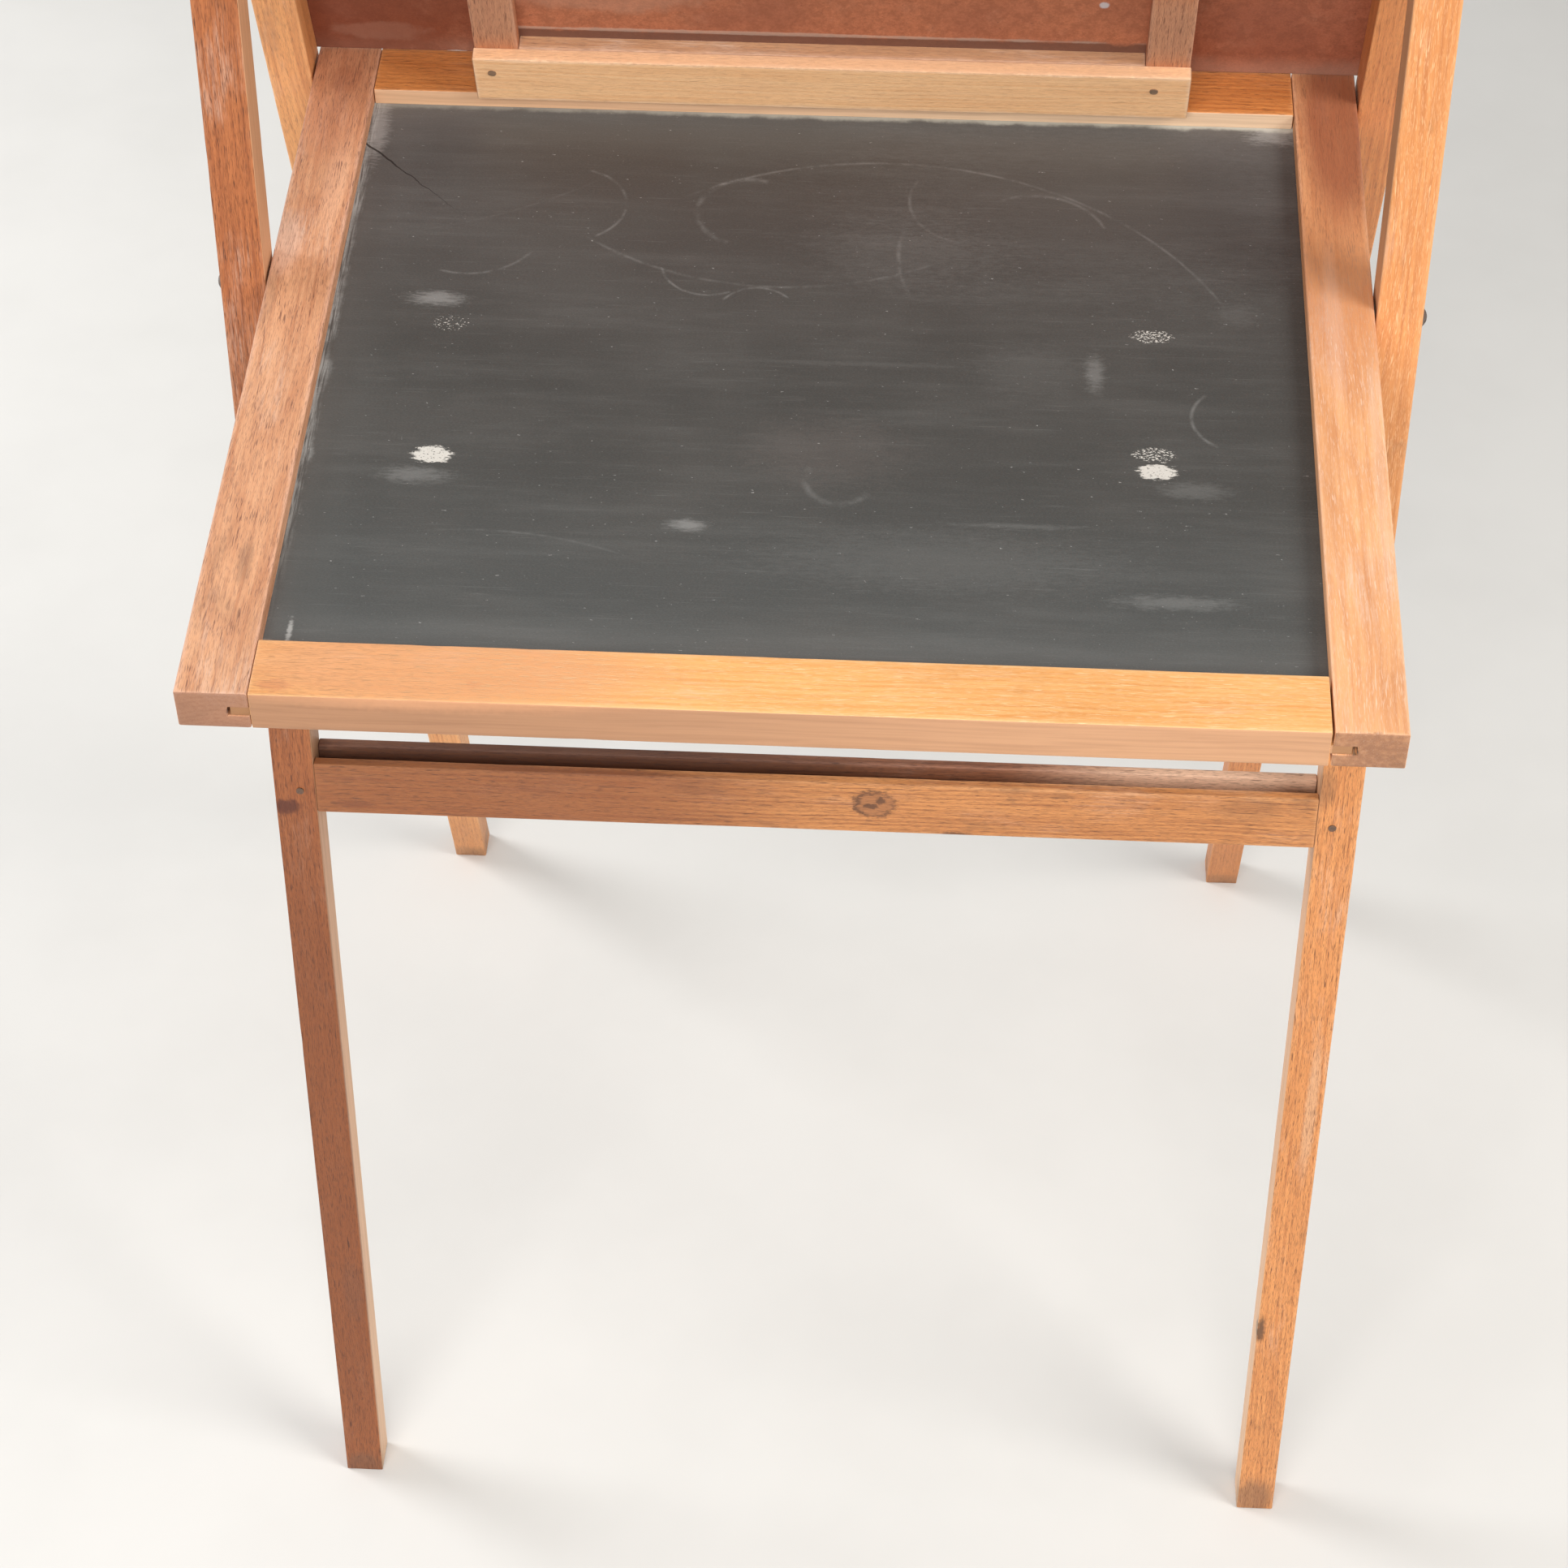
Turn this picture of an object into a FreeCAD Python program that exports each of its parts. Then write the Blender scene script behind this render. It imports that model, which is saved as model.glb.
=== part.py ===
import FreeCAD, Part
import os
import math

# Folding floor easel with a tilting blackboard leaf. Millimetres, +X right, +Y back, +Z up.
# Three frames: the front frame stands still, the rear frame hangs from two butt hinges at
# the top, and the leaf turns on two round-head screws between the front uprights.

# ---- driving dimensions -------------------------------------------------------------------
LEAF_WIDTH = 508.0            # over the leaf's two stiles
LEAF_DEPTH = 434.0            # along the leaf's stiles
LEAF_THICKNESS = 20.6
LEAF_STILE_WIDTH = 30.5
LEAF_FRONT_RAIL = 31.7        # rail widths, along the leaf's depth
LEAF_BACK_RAIL = 33.0
LEAF_SLOPE = 6.3              # degrees, back edge higher
PIVOT_FROM_FRONT = 269.0      # pivot screw's centre behind the leaf's front edge
PIVOT_ALONG_UPRIGHT = 830.0   # pivot screw's centre above the foot, along the upright
LEG_SECTION = 21.2            # all four legs are square
FRONT_LEAN = 2.8              # degrees, uprights lean back
TOP_RAIL_HEIGHT = 30.0
FOLDED_END_GAP = 5.0          # leaf's edge below the top rail when folded up
BOARD_THICKNESS = 5.0         # blackboard panel
BOARD_RECESS = 8.5            # below the leaf's top face
GROOVE_DEPTH = 9.0            # in the leaf's stiles and rails
TONGUE_LENGTH = 8.0
TRAY_BELOW_PIVOT = 313.2      # tray's lower edge below the pivot, along the upright
TRAY_HEIGHT = 31.7
TRAY_BOARD = 5.6              # thickness of the tray's boards
TRAY_FLOOR = 6.0
TENON_LENGTH = 12.0
TENON_THICKNESS = 7.0
TENON_SHOULDER = 4.0          # cut away above and below a tenon
STRETCHER_HEIGHT = 31.7
STRETCHER_CLEAR = 40.0        # below the folded leaf's end, along the rear leg
PANEL_THICKNESS = 3.0         # brown fibreboard
LEAF_PAST_REAR_FACE = 1.3     # leaf's back edge beyond the rear legs' back faces
PANEL_ABOVE_LEAF = 2.5
STRIP_COVER = 38.6            # leaf's back edge to the front of the stop strip
STRIP_HEIGHT = 31.7
STRIP_THICKNESS = 7.0
STRIP_ABOVE_LEAF = 0.6
INSET_WIDTH = 342.0           # small frame in front of the back panel
INSET_HEIGHT = 165.0
INSET_STILE = 21.2
INSET_DEPTH = 14.0
INSET_RECESS = 7.5            # its panel behind its front face
INSET_REBATE = 6.0
SPACER_HEIGHT = 30.0
EDGE_EASE = 0.8               # rounding of long edges
# ---- hardware -----------------------------------------------------------------------------
SCREW_R = 2.5                 # pivot screw's shank
SCREW_IN_STILE = 18.0
SCREW_HEAD_R = 5.0
SCREW_HEAD_H = 2.8
SCREW_SLOT = 1.1
WASHER_R = 7.5
WASHER_THICKNESS = 0.9
HINGE_LENGTH = 50.0           # along the pin
HINGE_LEAF = 18.0             # pin's centre to the plate's edge
HINGE_PLATE = 1.5
HINGE_BARREL_R = 2.5
HINGE_PIN_R = 1.25
HINGE_X = 180.0               # hinges' centres left and right of the middle
HINGE_SCREW_R = 1.5
HINGE_SCREW_LENGTH = 16.0
HINGE_SCREW_HEAD_R = 2.9
NAIL_R = 0.8
NAIL_HEAD_R = 2.0
NAIL_HEAD_T = 0.5
NAIL_LENGTH = 16.0
# ---- clearances ---------------------------------------------------------------------------
LEAF_SIDE_GAP = 1.2           # leaf to upright, each side, holds the washer
RUNNING = 0.05                # radial, turning fits
GLUE_GAP = 0.1                # joints inside one frame
HEAD_GAP = 0.3                # screw head to upright
BARREL_GAP = 0.3              # barrel to the wood below
FRAME_GAP = 0.75              # hinge pin to each frame's face
KNUCKLE_GAP = 0.3

# ---- derived layout -----------------------------------------------------------------------
INNER_X = LEAF_WIDTH / 2 + LEAF_SIDE_GAP           # legs' inner faces
OUTER_X = INNER_X + LEG_SECTION
UPRIGHT_LENGTH = PIVOT_ALONG_UPRIGHT + PIVOT_FROM_FRONT + FOLDED_END_GAP + TOP_RAIL_HEIGHT
PIN_RISE = HINGE_BARREL_R + BARREL_GAP             # pin's centre above the top faces
LEAN = math.radians(FRONT_LEAN)
SLOPE = math.radians(LEAF_SLOPE)


def front_point(n, s):
    """(y, z) of a point n behind the front face and s up the uprights."""
    return (n * math.cos(LEAN) + s * math.sin(LEAN), s * math.cos(LEAN) - n * math.sin(LEAN))


PIVOT_Y, PIVOT_Z = front_point(LEG_SECTION / 2, PIVOT_ALONG_UPRIGHT)
PIN_Y, PIN_Z = front_point(LEG_SECTION + FRAME_GAP, UPRIGHT_LENGTH + PIN_RISE)
BACK_REACH = LEAF_DEPTH - PIVOT_FROM_FRONT
END_Y = PIVOT_Y + BACK_REACH * math.cos(SLOPE) - LEAF_THICKNESS / 2 * math.sin(SLOPE)
END_Z = PIVOT_Z + BACK_REACH * math.sin(SLOPE) + LEAF_THICKNESS / 2 * math.cos(SLOPE)
# the rear frame's lean puts the leaf's back edge just past its back faces
_q = LEG_SECTION + LEAF_PAST_REAR_FACE + FRAME_GAP
_r = math.hypot(END_Y - PIN_Y, END_Z - PIN_Z)
REAR_LEAN = math.atan2(END_Z - PIN_Z, END_Y - PIN_Y) + math.acos(_q / _r)
_face_y = PIN_Y + FRAME_GAP * math.cos(REAR_LEAN)
_face_z = PIN_Z + FRAME_GAP * math.sin(REAR_LEAN)
REAR_FOOT_Y = _face_y + _face_z * math.tan(REAR_LEAN)
PIN_S = _face_z / math.cos(REAR_LEAN)              # pin's height along the rear leg
REAR_LENGTH = PIN_S - PIN_RISE
END_N = LEG_SECTION + LEAF_PAST_REAR_FACE          # leaf's back top edge in rear leg terms
END_S = (END_Z * math.cos(REAR_LEAN) - (END_Y - REAR_FOOT_Y) * math.sin(REAR_LEAN))
STRIP_N = END_N - STRIP_COVER * math.cos(REAR_LEAN - SLOPE)
STRIP_S = END_S + STRIP_COVER * math.sin(REAR_LEAN - SLOPE) + STRIP_ABOVE_LEAF
INSET_N = STRIP_N + STRIP_THICKNESS
PANEL_LOW = END_S + LEAF_PAST_REAR_FACE * math.tan(REAR_LEAN - SLOPE) + PANEL_ABOVE_LEAF
TRAY_LOW = PIVOT_ALONG_UPRIGHT - TRAY_BELOW_PIVOT
STRETCHER_LOW = (PIN_S - PIN_RISE - TOP_RAIL_HEIGHT - FOLDED_END_GAP - LEAF_DEPTH
                 - STRETCHER_CLEAR - STRETCHER_HEIGHT)
LEAF_FRONT_Y = PIVOT_Y - PIVOT_FROM_FRONT * math.cos(SLOPE) - LEAF_THICKNESS / 2 * math.sin(SLOPE)
REAR_BACK_Y = REAR_FOOT_Y + LEG_SECTION / math.cos(REAR_LEAN)
SHIFT_Y = -(LEAF_FRONT_Y + REAR_BACK_Y) / 2        # puts the origin under the middle

X_AXIS = FreeCAD.Vector(1, 0, 0)


# ---- helpers ------------------------------------------------------------------------------
def box(x0, x1, y0, y1, z0, z1):
    return Part.makeBox(x1 - x0, y1 - y0, z1 - z0, FreeCAD.Vector(x0, y0, z0))


def eased(shape, axis, radius=EDGE_EASE):
    """Round the edges that run along one axis (0, 1 or 2)."""
    edges = []
    for edge in shape.Edges:
        a, b = edge.Vertexes[0].Point, edge.Vertexes[1].Point
        run = [abs(a[k] - b[k]) for k in range(3)]
        if run[axis] > 1e-6 and sum(run) - run[axis] < 1e-6:
            edges.append(edge)
    return shape.makeFillet(radius, edges)


def rod(radius, length, start, direction):
    return Part.makeCylinder(radius, length, FreeCAD.Vector(*start), FreeCAD.Vector(*direction))


def turned(shape, angle_deg, move_y, move_z):
    """Tilt about X, then move; the library origin is added here once."""
    out = shape.copy()
    out.rotate(FreeCAD.Vector(0, 0, 0), X_AXIS, angle_deg)
    out.translate(FreeCAD.Vector(0, move_y + SHIFT_Y, move_z))
    return out


def in_front(shape):
    return turned(shape, -FRONT_LEAN, 0, 0)


def in_rear(shape):
    return turned(shape, math.degrees(REAR_LEAN), REAR_FOOT_Y, 0)


def in_leaf(shape):
    """Leaf terms: y behind the pivot, z above the middle of its thickness."""
    return turned(shape, LEAF_SLOPE, PIVOT_Y, PIVOT_Z)


def above_floor(shape):
    floor = box(-600, 600, -900, 900, 0, 1800)
    return shape.common(floor)


def single(shape):
    """The one solid inside a boolean result."""
    return shape.Solids[0] if len(shape.Solids) == 1 else shape


def group(shapes):
    return Part.makeCompound([s for shape in shapes for s in shape.Solids])


def mirrored(shape):
    return shape.mirror(FreeCAD.Vector(0, 0, 0), X_AXIS)


def tenon(n0, n1, s0, s1, side):
    """Tongue at a cross piece's end, centred in its thickness."""
    mid = (n0 + n1) / 2
    half = min(TENON_THICKNESS, (n1 - n0) * 0.6) / 2
    return box(*sorted((side * INNER_X, side * (INNER_X + TENON_LENGTH))),
               mid - half, mid + half, s0 + TENON_SHOULDER, s1 - TENON_SHOULDER)


def mortise(n0, n1, s0, s1, side):
    mid = (n0 + n1) / 2
    half = min(TENON_THICKNESS, (n1 - n0) * 0.6) / 2 + GLUE_GAP
    return box(*sorted((side * (INNER_X - 1), side * (INNER_X + TENON_LENGTH + 1))),
               mid - half, mid + half, s0 + TENON_SHOULDER - GLUE_GAP,
               s1 - TENON_SHOULDER + GLUE_GAP)


def cross_piece(n0, n1, s0, s1, ease=EDGE_EASE):
    """Rail or board between two legs, with a tenon at each end."""
    body = eased(box(-INNER_X + GLUE_GAP, INNER_X - GLUE_GAP, n0, n1, s0, s1), 0, ease)
    for side in (-1, 1):
        stub = tenon(n0, n1, s0, s1, side)
        body = body.fuse(box(*sorted((side * (INNER_X - 3), side * INNER_X)),
                             stub.BoundBox.YMin, stub.BoundBox.YMax,
                             stub.BoundBox.ZMin, stub.BoundBox.ZMax)).fuse(stub)
    return single(body.removeSplitter())


def nail(point, direction, length=NAIL_LENGTH):
    """Round wire nail; the point given is on the wood's face, its head stands just proud."""
    d = FreeCAD.Vector(*direction)
    p = FreeCAD.Vector(*point)
    head = Part.makeCylinder(NAIL_HEAD_R, NAIL_HEAD_T, p - d * NAIL_HEAD_T, d)
    shank = Part.makeCylinder(NAIL_R, length, p, d)
    return head.fuse(shank).removeSplitter()


def nail_hole(point, direction, length=NAIL_LENGTH):
    return rod(NAIL_R + RUNNING, length + 1, point, direction)


# ---- places of the fastenings --------------------------------------------------------------
TRAY_NAILS = [(side * (INNER_X + 8), 0, TRAY_LOW + TRAY_HEIGHT * 0.43)
              for side in (-1, 1)]
STRIP_NAILS = [(-(INSET_WIDTH - INSET_STILE) / 2 - 2.3, STRIP_N, STRIP_S + STRIP_HEIGHT * 0.67),
               ((INSET_WIDTH - INSET_STILE) / 2 - 6.1, STRIP_N, STRIP_S + STRIP_HEIGHT * 0.67)]
PANEL_TOP = REAR_LENGTH - 2.0
PANEL_NAILS = [(side * (INNER_X + LEG_SECTION / 2), LEG_SECTION + PANEL_THICKNESS,
                PANEL_LOW + 12 + k * (PANEL_TOP - PANEL_LOW - 24) / 4)
               for side in (-1, 1) for k in range(5)]
SPACER_LEVELS = (STRIP_S + 2, STRIP_S + INSET_HEIGHT - SPACER_HEIGHT - 4)
HINGE_SCREW_X = [side * HINGE_X + k * HINGE_LENGTH * 0.32 for side in (-1, 1) for k in (-1, 1)]
HINGE_SCREW_IN = 10.0          # screw's centre from the pin


# ---- front frame ---------------------------------------------------------------------------
def tray_back_n():
    return LEG_SECTION - TRAY_BOARD


def front_upright(side):
    body = eased(box(*sorted((side * INNER_X, side * OUTER_X)), 0, LEG_SECTION,
                     -10, UPRIGHT_LENGTH), 2)
    top = UPRIGHT_LENGTH
    body = body.cut(mortise(0, LEG_SECTION, top - TOP_RAIL_HEIGHT, top, side))
    body = body.cut(mortise(0, TRAY_BOARD, TRAY_LOW, TRAY_LOW + TRAY_HEIGHT, side))
    body = body.cut(mortise(tray_back_n(), LEG_SECTION, TRAY_LOW, TRAY_LOW + TRAY_HEIGHT, side))
    body = body.cut(rod(SCREW_R + RUNNING, LEG_SECTION + 4,
                        (side * (INNER_X - 2), LEG_SECTION / 2, PIVOT_ALONG_UPRIGHT),
                        (side, 0, 0)))
    for p in TRAY_NAILS:
        if p[0] * side > 0:
            body = body.cut(nail_hole(p, (0, 1, 0), NAIL_LENGTH - 2))
    return above_floor(in_front(body))


def front_top_rail():
    top = UPRIGHT_LENGTH
    body = cross_piece(0, LEG_SECTION, top - TOP_RAIL_HEIGHT, top)
    for x in HINGE_SCREW_X:
        n = LEG_SECTION + FRAME_GAP - HINGE_SCREW_IN
        body = body.cut(rod(HINGE_SCREW_R, HINGE_SCREW_LENGTH + 1, (x, n, top), (0, 0, -1)))
    return in_front(body)


def tray_front_board():
    body = cross_piece(0, TRAY_BOARD, TRAY_LOW, TRAY_LOW + TRAY_HEIGHT)
    for p in TRAY_NAILS:
        body = body.cut(nail_hole(p, (0, 1, 0), NAIL_LENGTH - 2))
    return in_front(body)


def tray_back_board():
    return in_front(cross_piece(tray_back_n(), LEG_SECTION, TRAY_LOW, TRAY_LOW + TRAY_HEIGHT))


def tray_floor():
    x = INNER_X - GLUE_GAP
    return in_front(box(-x, x, TRAY_BOARD, tray_back_n(), TRAY_LOW, TRAY_LOW + TRAY_FLOOR))


def tray_nails():
    return group([in_front(nail(p, (0, 1, 0), NAIL_LENGTH - 2)) for p in TRAY_NAILS])


# ---- leaf ----------------------------------------------------------------------------------
def groove_z():
    """Lower and upper face of the blackboard panel."""
    high = LEAF_THICKNESS / 2 - BOARD_RECESS
    return high - BOARD_THICKNESS, high


LEAF_Y0 = -PIVOT_FROM_FRONT
LEAF_Y1 = LEAF_DEPTH - PIVOT_FROM_FRONT
STILE_INNER = LEAF_WIDTH / 2 - LEAF_STILE_WIDTH


def leaf_stile(side):
    half = LEAF_THICKNESS / 2
    low, high = groove_z()
    body = eased(box(*sorted((side * STILE_INNER, side * LEAF_WIDTH / 2)), LEAF_Y0, LEAF_Y1,
                     -half, half), 1)
    body = body.cut(box(*sorted((side * (STILE_INNER - 1), side * (STILE_INNER + GROOVE_DEPTH))),
                        LEAF_Y0 - 1, LEAF_Y1 + 1, low - GLUE_GAP, high + GLUE_GAP))
    body = body.cut(rod(SCREW_R, SCREW_IN_STILE + 1, (side * (LEAF_WIDTH / 2 + 1), 0, 0),
                        (-side, 0, 0)))
    return in_leaf(body)


def leaf_rail(y0, y1, groove_at_front):
    half = LEAF_THICKNESS / 2
    low, high = groove_z()
    x = STILE_INNER - GLUE_GAP
    body = eased(box(-x, x, y0, y1, -half, half), 0)
    body = body.fuse(box(-x - TONGUE_LENGTH, x + TONGUE_LENGTH, y0 + EDGE_EASE, y1 - EDGE_EASE,
                         low, high)).removeSplitter()
    if groove_at_front:
        slot = (y0 - 1, y0 + GROOVE_DEPTH)
    else:
        slot = (y1 - GROOVE_DEPTH, y1 + 1)
    body = body.cut(box(-x - 20, x + 20, slot[0], slot[1], low - GLUE_GAP, high + GLUE_GAP))
    return in_leaf(single(body))


def blackboard_panel():
    low, high = groove_z()
    x = STILE_INNER + TONGUE_LENGTH
    y0 = LEAF_Y0 + LEAF_FRONT_RAIL - TONGUE_LENGTH
    y1 = LEAF_Y1 - LEAF_BACK_RAIL + TONGUE_LENGTH
    return in_leaf(box(-x, x, y0, y1, low, high))


def pivot_screw(side):
    head_x = OUTER_X + HEAD_GAP
    sphere_r = (SCREW_HEAD_R ** 2 + SCREW_HEAD_H ** 2) / (2 * SCREW_HEAD_H)
    ball = Part.makeSphere(sphere_r, FreeCAD.Vector(head_x + SCREW_HEAD_H - sphere_r, 0, 0))
    head = ball.common(box(head_x, head_x + SCREW_HEAD_H + 1, -9, 9, -9, 9))
    head = head.cut(box(head_x + SCREW_HEAD_H - 1.3, head_x + 9, -9, 9,
                        -SCREW_SLOT / 2, SCREW_SLOT / 2))
    start = LEAF_WIDTH / 2 - SCREW_IN_STILE
    point = Part.makeCone(0.6, SCREW_R, 5, FreeCAD.Vector(start, 0, 0), X_AXIS)
    shank = rod(SCREW_R, head_x - start - 5 + 0.6, (start + 5, 0, 0), (1, 0, 0))
    body = single(head.fuse([shank, point]).removeSplitter())
    return in_leaf(body if side > 0 else mirrored(body))


def pivot_screws():
    return group([pivot_screw(side) for side in (-1, 1)])


def pivot_washers():
    rings = []
    for side in (-1, 1):
        ring = rod(WASHER_R, WASHER_THICKNESS, (side * LEAF_WIDTH / 2, 0, 0), (side, 0, 0))
        rings.append(in_leaf(ring.cut(rod(SCREW_R + RUNNING, 4, (side * (LEAF_WIDTH / 2 - 1), 0, 0),
                                          (side, 0, 0)))))
    return group(rings)


# ---- rear frame ----------------------------------------------------------------------------
def rear_leg(side):
    body = eased(box(*sorted((side * INNER_X, side * OUTER_X)), 0, LEG_SECTION,
                     -20, REAR_LENGTH), 2)
    body = body.cut(mortise(0, LEG_SECTION, REAR_LENGTH - TOP_RAIL_HEIGHT, REAR_LENGTH, side))
    body = body.cut(mortise(0, LEG_SECTION, STRETCHER_LOW, STRETCHER_LOW + STRETCHER_HEIGHT, side))
    for p in PANEL_NAILS:
        if p[0] * side > 0:
            body = body.cut(nail_hole(p, (0, -1, 0)))
    return above_floor(in_rear(body))


def rear_top_rail():
    body = cross_piece(0, LEG_SECTION, REAR_LENGTH - TOP_RAIL_HEIGHT, REAR_LENGTH)
    for x in HINGE_SCREW_X:
        body = body.cut(rod(HINGE_SCREW_R, HINGE_SCREW_LENGTH + 1,
                            (x, HINGE_SCREW_IN - FRAME_GAP, REAR_LENGTH), (0, 0, -1)))
    for p in PANEL_NAILS:      # the top pair passes through the tenons
        body = body.cut(nail_hole(p, (0, -1, 0)))
    return in_rear(body)


def rear_stretcher():
    return in_rear(cross_piece(0, LEG_SECTION, STRETCHER_LOW, STRETCHER_LOW + STRETCHER_HEIGHT))


def back_panel():
    body = box(-OUTER_X + 1, OUTER_X - 1, LEG_SECTION, LEG_SECTION + PANEL_THICKNESS,
               PANEL_LOW, PANEL_TOP)
    for p in PANEL_NAILS:
        body = body.cut(nail_hole(p, (0, -1, 0)))
    return in_rear(body)


def back_panel_nails():
    return group([in_rear(nail(p, (0, -1, 0))) for p in PANEL_NAILS])


# ---- small frame in front of the back panel --------------------------------------------------
def inset_rebate():
    """Pocket behind the small frame's lip, shared by its four sides and its panel."""
    half = INSET_WIDTH / 2 - INSET_STILE + INSET_REBATE
    low = STRIP_S + STRIP_HEIGHT - INSET_REBATE
    high = STRIP_S + INSET_HEIGHT - INSET_STILE + INSET_REBATE
    return half, low, high


def inset_side(x0, x1, s0, s1, axis):
    half, low, high = inset_rebate()
    body = eased(box(x0, x1, INSET_N, INSET_N + INSET_DEPTH, s0, s1), axis)
    body = body.cut(box(-half, half, INSET_N + INSET_RECESS, INSET_N + INSET_DEPTH + 1,
                        low, high))
    for p in STRIP_NAILS:
        if x0 < p[0] < x1 and axis == 2:
            body = body.cut(nail_hole(p, (0, 1, 0)))
    return in_rear(single(body))


def inset_stile(side):
    half = INSET_WIDTH / 2
    x0, x1 = sorted((side * (half - INSET_STILE), side * half))
    return inset_side(x0, x1, STRIP_S, STRIP_S + INSET_HEIGHT, 2)


def inset_rail(s0, s1):
    half = INSET_WIDTH / 2 - INSET_STILE - GLUE_GAP / 2
    return inset_side(-half, half, s0, s1, 0)


def inset_panel():
    half, low, high = inset_rebate()
    return in_rear(box(-half + 0.3, half - 0.3, INSET_N + INSET_RECESS,
                       INSET_N + INSET_RECESS + PANEL_THICKNESS, low + 0.3, high - 0.3))


def stop_strip():
    half = INSET_WIDTH / 2 + 0.5
    body = eased(box(-half, half, STRIP_N, INSET_N, STRIP_S, STRIP_S + STRIP_HEIGHT), 0, 0.5)
    for p in STRIP_NAILS:
        body = body.cut(nail_hole(p, (0, 1, 0)))
    return in_rear(body)


def stop_strip_nails():
    return group([in_rear(nail(p, (0, 1, 0))) for p in STRIP_NAILS])


def spacer_blocks():
    blocks = []
    for side in (-1, 1):
        for s in SPACER_LEVELS:
            x0, x1 = sorted((side * (INSET_WIDTH / 2 - INSET_STILE + INSET_REBATE + 1),
                             side * (INSET_WIDTH / 2 - 1)))
            blocks.append(in_rear(box(x0, x1, INSET_N + INSET_DEPTH, LEG_SECTION,
                                      s, s + SPACER_HEIGHT)))
    return group(blocks)


# ---- top hinges ------------------------------------------------------------------------------
# Hinge terms: y away from the pin over the wood, z up from the wood's top face.
def hinge_plate(centre_x, outer_knuckles):
    x0, x1 = centre_x - HINGE_LENGTH / 2, centre_x + HINGE_LENGTH / 2
    third = HINGE_LENGTH / 3
    body = box(x0, x1, HINGE_BARREL_R + 0.8, HINGE_LEAF, 0, HINGE_PLATE)
    if outer_knuckles:
        spans = [(x0, x0 + third), (x1 - third, x1)]
    else:
        spans = [(x0 + third + KNUCKLE_GAP, x1 - third - KNUCKLE_GAP)]
    for a, b in spans:
        body = body.fuse(box(a, b, 0.6, HINGE_BARREL_R + 1.5, PIN_RISE - HINGE_BARREL_R,
                             HINGE_PLATE))
        body = body.fuse(rod(HINGE_BARREL_R, b - a, (a, 0, PIN_RISE), (1, 0, 0)))
        body = body.cut(rod(HINGE_PIN_R + RUNNING, b - a + 2, (a - 1, 0, PIN_RISE), (1, 0, 0)))
    for x in HINGE_SCREW_X:
        if x0 < x < x1:
            body = body.cut(hinge_screw_shape(x, 0.1))
    return single(body.removeSplitter())


def hinge_screw_shape(x, grow=0.0):
    """Flat-head screw, head flush with the plate."""
    head = Part.makeCone(HINGE_SCREW_R + grow, HINGE_SCREW_HEAD_R + grow, HINGE_PLATE,
                         FreeCAD.Vector(x, HINGE_SCREW_IN, 0), FreeCAD.Vector(0, 0, 1))
    shank = rod(HINGE_SCREW_R + (grow if grow else 0), HINGE_SCREW_LENGTH,
                (x, HINGE_SCREW_IN, 0), (0, 0, -1))
    return head.fuse(shank).removeSplitter()


def hinge_screw(x):
    body = hinge_screw_shape(x)
    slot = box(x - 4, x + 4, HINGE_SCREW_IN - 0.4, HINGE_SCREW_IN + 0.4,
               HINGE_PLATE - 0.7, HINGE_PLATE + 1)
    return single(body.cut(slot))


def on_front_top(shape):
    """Hinge terms to the front frame: plates lie forward of the pin."""
    out = shape.copy()
    out = out.mirror(FreeCAD.Vector(0, 0, 0), FreeCAD.Vector(0, 1, 0))
    out.translate(FreeCAD.Vector(0, LEG_SECTION + FRAME_GAP, UPRIGHT_LENGTH))
    return in_front(out)


def on_rear_top(shape):
    out = shape.copy()
    out.translate(FreeCAD.Vector(0, -FRAME_GAP, REAR_LENGTH))
    return in_rear(out)


def front_hinge_plates():
    return group([on_front_top(hinge_plate(side * HINGE_X, True)) for side in (-1, 1)])


def rear_hinge_plates():
    return group([on_rear_top(hinge_plate(side * HINGE_X, False)) for side in (-1, 1)])


def hinge_pins():
    pins = [rod(HINGE_PIN_R, HINGE_LENGTH + 2, (side * HINGE_X - HINGE_LENGTH / 2 - 1, 0, PIN_RISE),
                (1, 0, 0)) for side in (-1, 1)]
    return group([on_front_top(p) for p in pins])


def front_hinge_screws():
    return group([on_front_top(hinge_screw(x)) for x in HINGE_SCREW_X])


def rear_hinge_screws():
    return group([on_rear_top(hinge_screw(x)) for x in HINGE_SCREW_X])


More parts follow.
